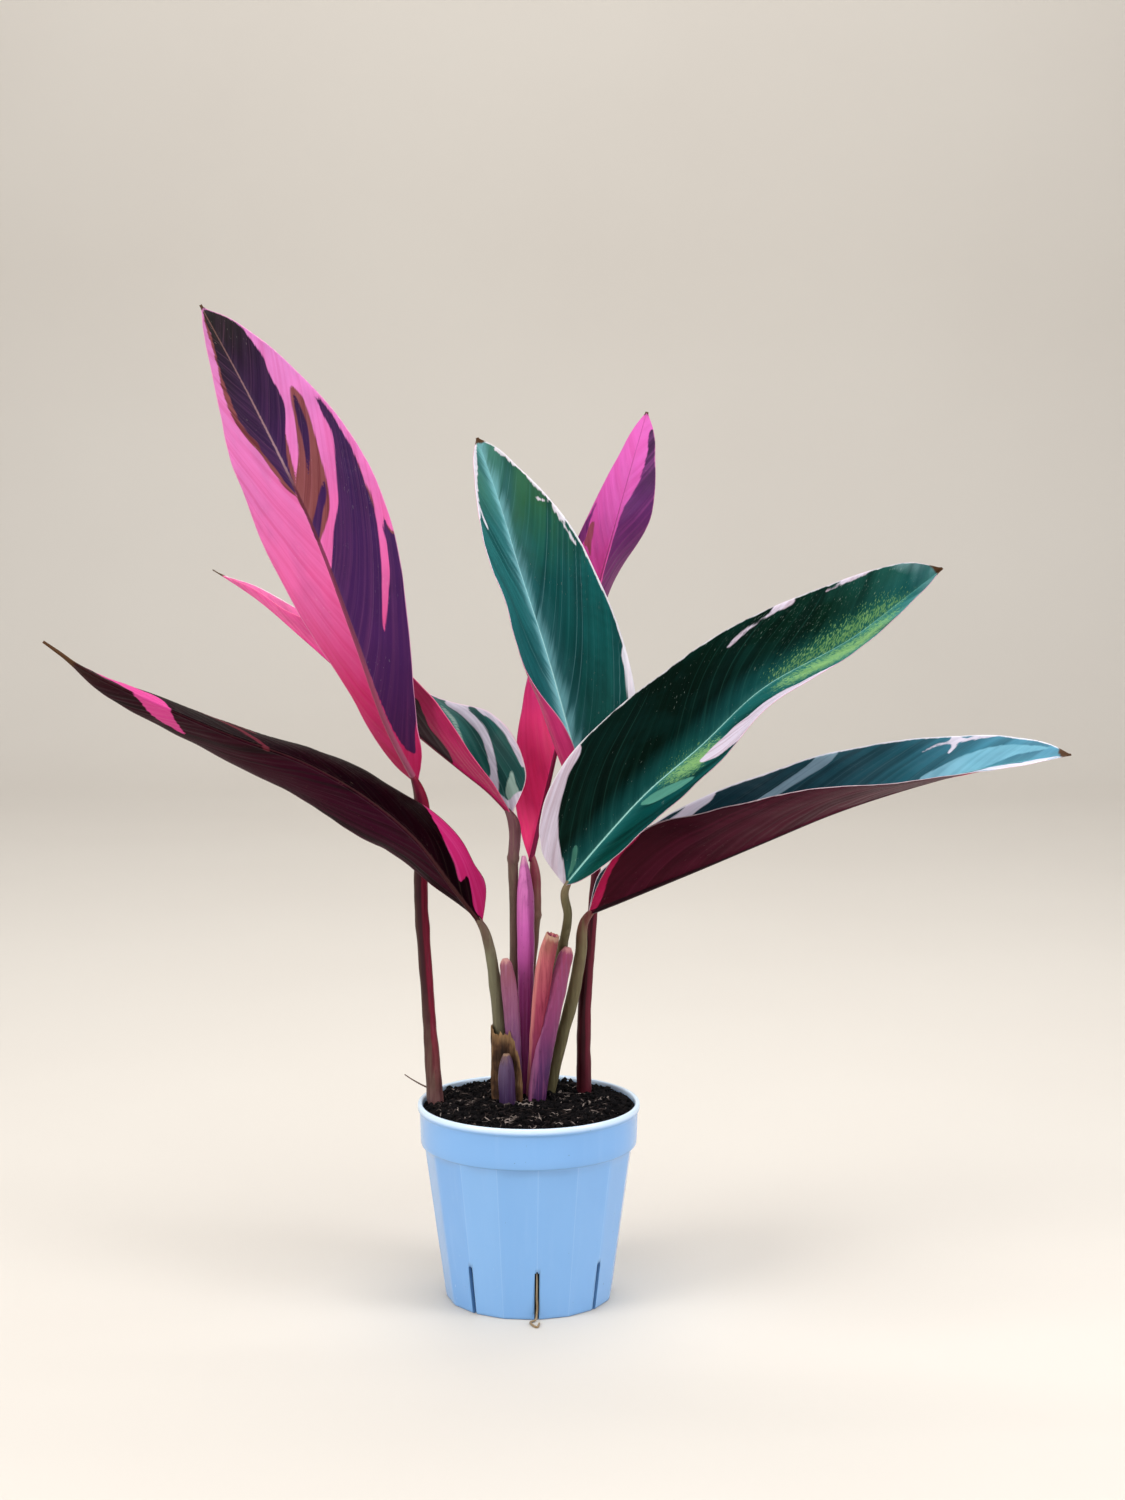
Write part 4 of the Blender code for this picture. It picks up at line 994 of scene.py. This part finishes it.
sheathForm = {"rings": 100, "sides": 40, "ridges": 0.012, "lump": 0.08, "seam": 0.16, "wide": 1.12}
sheaths = {
    "sheath_b": {
        "line": [(-5.6, -0.6, 80, 3.0), (-6.1, -1, 95, 3.2), (-7, -3, 124, 3.5), (-8.4, -4, 143, 3.6),
                 (-10, -5, 157, 3.1), (-10.7, -5.2, 161.5, 2.5), (-11, -5.2, 163.5, 1.2)],
        "stops": [(0, (74, 48, 84)), (0.4, (100, 66, 110)), (0.75, (132, 74, 106)), (1, (138, 80, 88))],
        "streak": (150, 100, 128), "lip": (184, 136, 128),
    },
    "sheath_e": {
        "line": [(-2.5, 5, 78, 2.8), (-2.3, 5, 94, 3.2), (-1.9, 5, 112, 3.5), (-1.3, 5, 141, 3.6),
                 (-1.2, 5, 180, 4.0), (-1.4, 5.6, 194, 3.7), (-1.8, 6.8, 203, 2.4), (-2.2, 7.6, 210, 0.9)],
        "stops": [(0, (96, 20, 60)), (0.25, (118, 28, 84)), (0.5, (140, 44, 112)), (0.75, (196, 96, 172)),
                  (1, (216, 128, 190))],
        "streak": (170, 80, 146), "flank": (122, 34, 96), "flankPart": 0.5, "lip": (220, 160, 186),
    },
    "sheath_f": {
        "line": [(1.2, -1.4, 84, 2.4), (1.5, -1.6, 95, 2.7), (3.4, -3.4, 117, 3.3), (5.9, -5.4, 143, 4.0),
                 (7.9, -6.6, 161, 4.0), (10.2, -7.2, 171, 3.6), (11.4, -7.5, 175.0, 3.2)],
        "stops": [(0, (66, 22, 60)), (0.3, (104, 30, 72)), (0.6, (150, 54, 80)), (0.85, (174, 88, 96)),
                  (1, (140, 86, 74))],
        "streak": (104, 18, 46), "flank": (132, 40, 62), "flankPart": 0.5, "lit": (214, 138, 130),
        "lip": (176, 140, 118), "mouth": 1.3,
    },
    "sheath_g": {
        "line": [(3.4, -5.6, 80, 3.7), (3.9, -5.6, 95, 4.0), (7.2, -5.0, 119, 4.3), (12.4, -4.2, 143, 4.2),
                 (16, -3.8, 159, 3.7), (18, -3.8, 166, 2.9), (18.6, -3.8, 168.4, 1.5)],
        "stops": [(0, (48, 24, 62)), (0.35, (80, 40, 86)), (0.65, (134, 58, 100)), (1, (142, 60, 88))],
        "streak": (144, 76, 120), "lit": (160, 96, 130), "lip": (196, 136, 134),
    },
    "sheath_stub": {
        "line": [(-9.6, -9.8, 82, 3.4), (-9.8, -10, 96, 3.8), (-10.3, -10, 108, 3.6),
                 (-10.4, -9.8, 115.5, 2.8), (-10.4, -9.6, 119, 1.4)],
        "stops": [(0, (40, 26, 52)), (0.5, (62, 42, 78)), (0.85, (92, 72, 100)), (1, (104, 78, 72))],
        "streak": (94, 76, 108), "flank": (58, 26, 66), "flankPart": 0.6, "lip": (140, 112, 88),
    },
}
for count, (name, sheath) in enumerate(sheaths.items()):
    skin = stalkSkin(name + "_skin", sheath)
    tube(name + "_rolled", name, skin, sheath, sheathForm, count * 5.1 + 2)

rootForm = {"rings": 110, "sides": 10, "lump": 0.3}
roots = {
    "drain_root": {
        "line": [(3.6, -41.5, 23, 0.4), (3.57, -41.0, 12, 0.45), (3.55, -40.8, 4, 0.5),
                 (2.9, -42.1, 1.0, 0.5), (0.9, -43.3, 0.7, 0.5), (1.5, -47.6, 0.6, 0.5),
                 (3.3, -50.4, 0.6, 0.5), (4.6, -45, 0.6, 0.4)],
        "stops": [(0, (110, 98, 80)), (1, (156, 130, 96))], "streak": (190, 172, 140),
    },
    "rim_root": {
        "line": [(-40.6, 10.4, 83.5, 0.45), (-43.2, 12.4, 91, 0.45), (-47, 15.4, 95.6, 0.42),
                 (-51.6, 18, 97.4, 0.4), (-56, 20, 99.4, 0.35), (-59.6, 21, 101.6, 0.3)],
        "stops": [(0, (70, 52, 46)), (1, (96, 74, 66))], "streak": (130, 104, 90),
    },
}
for count, (name, root) in enumerate(roots.items()):
    skin = stalkSkin(name + "_skin", root, 0.6)
    tube(name + "_strand", name, skin, root, rootForm, count * 7.3 + 1)
print("stalks made")


# dry sheath: a papery wrap round the foot of the stalks

wrap = {
    "plan": [(-14.6, 5.6), (-16.4, 3.4), (-17.0, 0.4), (-16.4, -3.0), (-13.8, -5.6), (-10.2, -6.8),
             (-7.0, -7.6), (-4.4, -8.8), (-2.4, -9.2)],
    "foot": 86,
    "tops": [(0, 122), (0.14, 129), (0.26, 131), (0.36, 127), (0.5, 128), (0.62, 127), (0.74, 127),
             (0.84, 121), (0.93, 113), (1, 104)],
    "lean": -0.6,
    "rows": 80,
    "columns": 84,
    "thickness": 0.3,
    "flare": 1.9,
}


def wrapSkin():
    skin = Skin("dry_sheath_paper", **{"Roughness": 0.8, "Specular IOR Level": 0.15})
    fibre = skin.noise(skin.place((1100, 1100, 70)), detail=4, roughness=0.7)
    cloud = skin.noise(skin.place((150, 150, 90)), detail=3)
    stops = [(0.3, shade(26, 17, 14)), (0.48, shade(62, 42, 30)), (0.64, shade(112, 82, 56))]
    colour = skin.ramp(cloud, stops + [(0.78, shade(160, 128, 92))])
    colour = skin.mix(fibre.over(0.48, 0.68) * 0.7, colour, shade(32, 20, 15))
    colour = skin.mix(skin.field("along").over(0.86, 0.99) * 0.55, colour, shade(150, 118, 82))
    skin.set("Base Color", colour)
    skin.bump(fibre, 0.0005, 0.9)
    return skin


def makeWrap():
    rows, columns = wrap["rows"], wrap["columns"]
    run = np.linspace(0, 1, columns)
    plan = through(np.column_stack([np.linspace(0, 1, len(wrap["plan"])), wrap["plan"]]), run)
    ahead = unit(np.gradient(plan, axis=0))
    inward = np.column_stack([-ahead[:, 1], ahead[:, 0]])
    tops = through(wrap["tops"], run)[:, 0]
    near, far, height = [], [], []
    for i in range(rows):
        up = i / (rows - 1)
        for j in range(columns):
            tear = 2.2 * noise.noise((j * 0.22, 0, 7.7)) + 1.6 * noise.noise((j * 0.75, 3, 7.7))
            z = wrap["foot"] + (tops[j] - wrap["foot"]) * up + tear * up**4
            crease = 0.55 * noise.noise((j * 0.24, i * 0.04, 2.2))
            crease += 0.22 * noise.noise((j * 0.8, i * 0.1, 6.1))
            flare = wrap["flare"] * up**7 * (0.35 + noise.noise((j * 0.16, 0, 5.5)))
            spot = plan[j] + inward[j] * (crease + flare) + (wrap["lean"] * up, 0)
            back = spot - inward[j] * wrap["thickness"]
            near.append((*(spot * mm), z * mm))
            far.append((*(back * mm), z * mm))
            height.append(up)
    count = rows * columns
    loop = rimLoop(rows, columns)
    faces = gridFaces(rows, columns) + gridFaces(rows, columns, first=count, flip=True)
    faces += [(b, a, a + count, b + count) for a, b in zip(loop, loop[1:] + loop[:1])]
    piece = newPiece("dry_sheath_wrap", near + far, faces, [wrapSkin()], fields={"along": height * 2})
    faceOutward(piece)
    settle(piece, "dry_sheath")


makeWrap()
print("dry sheath made")


# pot

pot = {
    "facets": 16,
    "turn": 5.0,
    "columns": 192,
    "outside": [(38.6, 0.0, 1), (39.2, 0.15, 1), (39.6, 0.6, 1), (39.8, 1.6, 1), (41.1, 11, 1),
                (43.1, 26, 1), (45.1, 41, 1), (47.1, 56, 1), (49.0, 70, 1), (49.5, 73.3, 0.9),
                (49.8, 74.0, 0.5), (50.4, 74.3, 0), (50.9, 74.6, 0), (51.1, 75.2, 0), (51.2, 78, 0),
                (51.4, 84, 0), (51.55, 89.6, 0), (51.65, 90.2, 0), (51.95, 90.55, 0), (52.3, 90.85, 0),
                (52.5, 91.4, 0), (52.5, 92.9, 0), (52.35, 93.5, 0), (52.0, 93.85, 0), (51.5, 94.0, 0),
                (50.9, 93.95, 0), (50.45, 93.6, 0), (50.25, 93.0, 0)],
    "inside": [(50.0, 88, 0), (49.65, 77.4, 0), (49.4, 76.4, 0), (48.7, 75.4, 0), (47.6, 74.1, 0),
               (47.3, 73.0, 0), (43.0, 41, 0), (38.0, 6, 0), (37.4, 2.4, 0), (37.0, 1.9, 0), (30, 1.8, 0),
               (12, 1.8, 0), (0.5, 1.8, 0)],
    "slots": 8,
    "slotWidth": 2.2,
    "slotHeight": 24.0,
    "slotFrom": 30.0,
    "slotDepth": 20.0,
    "slotRound": 0.7,
    "cornerEase": 0.0016,
    "bandFoot": (0.0738, 0.0744),
    "lip": (0.0908, 0.0928),
    "innerWall": (0.0500, 0.0504),
    "soilLine": (0.078, 0.084),
}


def potSkin():
    skin = Skin("pot_plastic", **{"Coat Weight": 0.35, "Coat Roughness": 0.08, "Specular IOR Level": 0.5})
    spot = skin.node("SeparateXYZ", {}, {0: skin.place()})
    x, y, height = (Wire(skin, spot.outputs[key]) for key in "XYZ")
    sector = math.tau / pot["facets"]
    facet = (y.maths("ARCTAN2", y, x) - math.radians(pot["turn"])) / sector
    corner = abs(facet - facet.maths("ROUND", facet))  # 0 on a facet corner, 0.5 in its middle
    below = height.under(*pot["bandFoot"])
    cloud = skin.noise(skin.place((30, 30, 22)), detail=3)
    flow = skin.noise(skin.place((240, 240, 9)), detail=3)
    scuffAndReflectionNoise = skin.noise(skin.place((1500, 700, 150)), detail=3, roughness=0.6)
    speck = skin.noise(skin.place((620, 620, 620)), detail=1)
    # painted shade: facets below the band differ in tone, one from the next
    facetShade = skin.noise(skin.vector(facet.maths("FLOOR", facet) * 3.7, 0.5, 0.5), detail=0)
    tint = 0.4 + (cloud - 0.5) * 0.4 + (facetShade - 0.5) * below * 0.9
    colour = skin.mix(tint, shade(112, 167, 227), shade(137, 187, 239))
    colour = skin.mix(flow.over(0.5, 0.75) * 0.12, colour, shade(156, 196, 240))
    # painted highlight: paler line down each facet corner below the band
    colour = skin.mix(corner.under(0.004, 0.02) * below * 0.22, colour, shade(178, 212, 248))
    # pale scuff patch low on the left side: real scuffs in roughness, a painted reflection in its pale
    # colour
    scuffAndReflection = scuffAndReflectionNoise.over(0.70, 0.75) * height.under(0.015, 0.06) * x.under(-0.03, 0.0)
    colour = skin.mix(scuffAndReflection * 0.6, colour, shade(206, 222, 240))
    colour = skin.mix(speck.over(0.80, 0.82) * 0.7, colour, shade(60, 80, 110))
    # painted highlight: near-white band round the rim lip
    colour = skin.mix(height.over(*pot["lip"]) * 0.85, colour, shade(222, 240, 254))
    # painted light: paler inside wall above the soil line, as if light shone through the plastic
    inner, outer = pot["innerWall"]
    innerWallLight = (x * x + y * y).under(inner**2, outer**2) * height.over(*pot["soilLine"])
    colour = skin.mix(innerWallLight * 0.6, colour, shade(196, 224, 246))
    skin.set("Base Color", colour)
    skin.set("Roughness", 0.2 + cloud * 0.1 + scuffAndReflection * 0.3)
    skin.bump(flow * 0.6 + cloud * 0.4, 0.0004, 0.12)
    return skin


def slotCutter(number):
    # upright block with round ends, standing across the pot's foot
    angle = math.radians(pot["turn"]) + number * math.tau / pot["slots"]
    depth, width, height = pot["slotDepth"], pot["slotWidth"], pot["slotHeight"]
    data = bpy.data.meshes.new(f"slot_{number}")
    shape = bmesh.new()
    bmesh.ops.create_cube(shape, size=1.0)
    for corner in shape.verts:
        x, y, z = corner.co
        out = pot["slotFrom"] + depth / 2 + x * depth
        up = height / 2 - 1 + z * (height + 2)
        corner.co = Vector((out * mm, y * width * mm, up * mm))
    edges = []
    for edge in shape.edges:
        a, b = (corner.co for corner in edge.verts)
        if abs(a.x - b.x) > mm and a.z > 10 * mm:
            edges.append(edge)
    bmesh.ops.bevel(shape, geom=edges, offset=pot["slotRound"] * mm, segments=4, affect="EDGES")
    bmesh.ops.rotate(shape, verts=shape.verts, cent=(0, 0, 0), matrix=Matrix.Rotation(angle, 3, "Z"))
    bmesh.ops.recalc_face_normals(shape, faces=shape.faces)
    shape.to_mesh(data)
    shape.free()
    cutter = bpy.data.objects.new(f"slot_{number}", data)
    bpy.context.scene.collection.objects.link(cutter)
    return cutter


def makePot():
    columns = pot["columns"]
    profile = pot["outside"] + pot["inside"]
    halfSector = math.pi / pot["facets"]
    points = []
    for radius, z, faceted in profile:
        for j in range(columns):
            angle = math.tau * j / columns
            local = (angle - math.radians(pot["turn"])) % (2 * halfSector) - halfSector
            plane = math.cos(halfSector) / math.cos(local)
            ease = 1 - pot["cornerEase"] * max(0.0, 1 - (halfSector - abs(local)) / 0.05) ** 2
            reach = radius * (1 + (plane * ease - 1) * faceted)
            points.append((reach * math.cos(angle) * mm, reach * math.sin(angle) * mm, z * mm))
    faces = gridFaces(len(profile), columns, wrap=True)
    faces += endCaps(len(profile), columns, len(points), len(points) + 1)
    points += [(0, 0, 0), (0, 0, pot["inside"][-1][1] * mm)]
    piece = newPiece("pot_shell", points, faces, [potSkin()])
    faceOutward(piece)
    cutters = [slotCutter(number) for number in range(pot["slots"])]
    for cutter in cutters:
        cut = piece.modifiers.new(cutter.name, "BOOLEAN")
        cut.operation = "DIFFERENCE"
        cut.solver = "EXACT"
        cut.object = cutter
    graph = bpy.context.evaluated_depsgraph_get()
    cutMesh = bpy.data.meshes.new_from_object(piece.evaluated_get(graph))
    piece.modifiers.clear()
    piece.data = cutMesh
    for cutter in cutters:
        bpy.data.objects.remove(cutter, do_unlink=True)
    settle(piece, "pot")


makePot()
print("pot made")


# soil

soil = {
    "middle": 95.6,
    "edge": 91.6,
    "radius": 49.9,
    "rings": 96,
    "columns": 300,
    "below": [(49.0, 76.2), (46.9, 73.4), (36.9, 2.2)],
    "crumbs": 2200,
    "crumbReach": 48.2,
    "fibres": 620,
    "fibreReach": 46.5,
    "fibreSteps": 9,
    "fibreSides": 4,
}


def soilHeight(x, y):
    part = min(1.0, math.hypot(x, y) / soil["radius"])
    base = soil["edge"] + (soil["middle"] - soil["edge"]) * (1 - part**2.2)
    lumps = 1.3 * noise.noise((x * 0.16, y * 0.16, 3.1)) + 0.9 * noise.noise((x * 0.45, y * 0.45, 8.2))
    return base + (lumps + 0.5 * noise.noise((x * 1.3, y * 1.3, 1.4))) * min(1, (1.03 - part) * 8)


def soilSkins():
    dull = {"Roughness": 0.92, "Specular IOR Level": 0.08}
    peat = Skin("soil_peat", **dull)
    grain = peat.noise(peat.place((420, 420, 420)), detail=5, roughness=0.7)
    damp = peat.noise(peat.place((60, 60, 60)), detail=3)
    fleck = peat.noise(peat.place((1300, 1300, 1300)), detail=2)
    stops = [(0.35, shade(4, 4, 6)), (0.5, shade(11, 9, 11)), (0.62, shade(22, 18, 19))]
    colour = peat.ramp(grain * 0.6 + damp * 0.4, stops + [(0.75, shade(48, 40, 36))])
    peat.set("Base Color", peat.mix(fleck.over(0.69, 0.74) * 0.5, colour, shade(110, 94, 84)))
    peat.bump(grain + fleck * 0.3, 0.0012, 0.9)

    crumb = Skin("soil_crumbs", **dull)
    grain = crumb.noise(crumb.place((700, 700, 700)), detail=4)
    tone = crumb.noise(crumb.place((230, 230, 230)), detail=1)
    stops = [(0.35, shade(4, 4, 6)), (0.55, shade(12, 11, 13)), (0.7, shade(32, 27, 27))]
    crumb.set("Base Color", crumb.mix(grain.over(0.3, 0.7), crumb.ramp(tone, stops), shade(12, 10, 11)))
    crumb.bump(grain, 0.0006, 0.8)

    fibre = Skin("soil_fibres", **dull)
    tone = fibre.noise(fibre.place((160, 160, 160)), detail=1)
    stops = [(0.38, shade(14, 12, 13)), (0.55, shade(50, 42, 40)), (0.72, shade(160, 146, 138))]
    fibre.set("Base Color", fibre.ramp(tone, stops))
    fibre.bump(fibre.noise(fibre.place((1500, 1500, 1500)), detail=2), 0.0002, 0.6)
    return [peat, crumb, fibre]


def keepInPot(spot):
    spot[:2] *= min(1.0, soil["radius"] / max(np.hypot(*spot[:2]), 0.1))
    return tuple(spot * mm)


def crumbPoints(random, ball, number):
    r, angle = soil["crumbReach"] * math.sqrt(random.random()), math.tau * random.random()
    x, y = r * math.cos(angle), r * math.sin(angle)
    size = 0.35 + 1.15 * random.random() ** 2.5
    stretch = 0.6 + 0.8 * random.random(3)
    middle = np.array([x, y, soilHeight(x, y) + size * 0.25])
    points = []
    for corner in ball:
        dent = 1 + 0.5 * noise.noise(Vector(corner) * 1.7 + Vector((number, 0, 0)))
        points.append(keepInPot(middle + np.array(corner) * stretch * size * dent))
    return points


def fibrePoints(random):
    r, angle = soil["fibreReach"] * math.sqrt(random.random()), math.tau * random.random()
    x, y = r * math.cos(angle), r * math.sin(angle)
    heading, bend = math.tau * random.random(), (random.random() - 0.5) * 0.5
    length, thick = 3 + 8 * random.random() ** 1.5, 0.14 + 0.2 * random.random()
    rise = random.random() * 1.6
    steps, sides = soil["fibreSteps"], soil["fibreSides"]
    points = []
    for i in range(steps):
        u = i / (steps - 1)
        z = soilHeight(x, y) + 0.15 + rise * math.sin(math.pi * u) * 0.7
        half = thick * (1 - 0.6 * abs(2 * u - 1) ** 3)
        for c in range(sides):
            out, up = half * math.cos(math.tau * c / sides), half * math.sin(math.tau * c / sides)
            spot = [x - math.sin(heading) * out, y + math.cos(heading) * out, z + up]
            points.append(keepInPot(np.array(spot)))
        x += math.cos(heading) * length / steps
        y += math.sin(heading) * length / steps
        heading += bend
    return points


def makeSoil():
    random = np.random.default_rng(41)
    columns = soil["columns"]
    points = []
    for i in range(soil["rings"]):
        r = soil["radius"] * ((i + 0.5) / (soil["rings"] - 0.5)) ** 0.85
        for j in range(columns):
            angle = math.tau * (j + 0.5 * (i % 2)) / columns
            x, y = r * math.cos(angle), r * math.sin(angle)
            points.append((x * mm, y * mm, soilHeight(x, y) * mm))
    for r, z in soil["below"]:
        for j in range(columns):
            angle = math.tau * j / columns
            points.append((r * math.cos(angle) * mm, r * math.sin(angle) * mm, z * mm))
    rows = soil["rings"] + len(soil["below"])
    top, bottom = len(points), len(points) + 1
    points += [(0, 0, soilHeight(0, 0) * mm), (0, 0, soil["below"][-1][1] * mm)]
    faces = gridFaces(rows, columns, wrap=True, flip=True)
    faces += [face[::-1] for face in endCaps(rows, columns, top, bottom)]
    faceSkin = [0] * len(faces)

    ball = bmesh.new()
    bmesh.ops.create_icosphere(ball, subdivisions=1, radius=1.0)
    ballPoints = [tuple(v.co) for v in ball.verts]
    ballFaces = [[v.index for v in f.verts] for f in ball.faces]
    ball.free()
    for number in range(soil["crumbs"]):
        faces += [[len(points) + v for v in face] for face in ballFaces]
        points += crumbPoints(random, ballPoints, number)
    faceSkin += [1] * (len(faces) - len(faceSkin))

    steps, sides = soil["fibreSteps"], soil["fibreSides"]
    for number in range(soil["fibres"]):
        first = len(points)
        points += fibrePoints(random)
        faces += gridFaces(steps, sides, first=first, wrap=True)
        faces.append([first + c for c in reversed(range(sides))])
        faces.append([len(points) - sides + c for c in range(sides)])
    faceSkin += [2] * (len(faces) - len(faceSkin))
    settle(newPiece("soil_mound", points, faces, soilSkins(), faceSkin), "soil")


makeSoil()
print("soil made")


# floor, light and camera

studio = {
    "floorFront": -2.6,
    "floorBack": 1.7,
    "wallHeight": 2.6,
    "halfWidth": 3.4,
    "bend": 0.6,
    "bendSteps": 12,
}


def makeBackdrop():
    skin = Skin("backdrop_paper", Roughness=0.7)
    cloud = skin.noise(skin.place((3, 3, 3)), detail=2)
    skin.set("Base Color", skin.mix(cloud, shade(209, 202, 193), shade(214, 208, 199)))
    back, bend, steps = studio["floorBack"], studio["bend"], studio["bendSteps"]
    line = [(studio["floorFront"], 0.0), (back, 0.0)]
    for k in range(1, steps + 1):
        angle = math.pi / 2 * k / steps
        line.append((back + bend * math.sin(angle), bend * (1 - math.cos(angle))))
    line.append((back + bend, studio["wallHeight"]))
    points = [(side * studio["halfWidth"], y, z) for y, z in line for side in (-1, 1)]
    floor = newPiece("studio_floor", points, gridFaces(len(line), 2, flip=True), [skin])


def addLight(name, place, aim, size, power, tint):
    data = bpy.data.lights.new(name, "AREA")
    data.shape = "RECTANGLE"
    data.size, data.size_y = size
    data.energy = power
    data.color = tint
    lamp = bpy.data.objects.new(name, data)
    lamp.location = place
    lamp.rotation_euler = (Vector(aim) - Vector(place)).to_track_quat("-Z", "Y").to_euler()
    bpy.context.scene.collection.objects.link(lamp)


makeBackdrop()
addLight("light_left", (-1.1, -0.75, 0.85), (0, 0, 0.2), (0.7, 1.0), 14, (1.0, 0.98, 0.95))
addLight("light_right", (1.15, -0.55, 0.7), (0, 0, 0.2), (0.5, 0.9), 9, (0.95, 0.97, 1.0))
addLight("light_top", (0.1, -0.5, 1.6), (0, 0, 0.15), (1.4, 1.2), 18, (1.0, 0.99, 0.97))
addLight("light_back", (0.2, 0.55, 1.2), (0, 0, 0.3), (1.2, 0.5), 5, (1.0, 1.0, 1.0))
addLight("light_wall", (0, 0.9, 2.1), (0, 2.3, 1.0), (2.4, 0.4), 24, (1.0, 0.99, 0.97))
world = bpy.data.worlds.new("soft_room")
world.use_nodes = True
world.node_tree.nodes["Background"].inputs["Color"].default_value = (0.85, 0.87, 0.92, 1)
world.node_tree.nodes["Background"].inputs["Strength"].default_value = 0.3
bpy.context.scene.world = world
bpy.context.scene.view_settings.view_transform = "Standard"

lens = bpy.data.cameras.new("camera")
lens.lens = 65
lens.clip_start = 0.02
camera = bpy.data.objects.new("camera", lens)
camera.location = (0, -1.250, 0.419)
camera.rotation_euler = (math.radians(82.8), 0, math.radians(-0.73))
bpy.context.scene.collection.objects.link(camera)
bpy.context.scene.camera = camera
print("studio made")

bpy.context.view_layer.update()
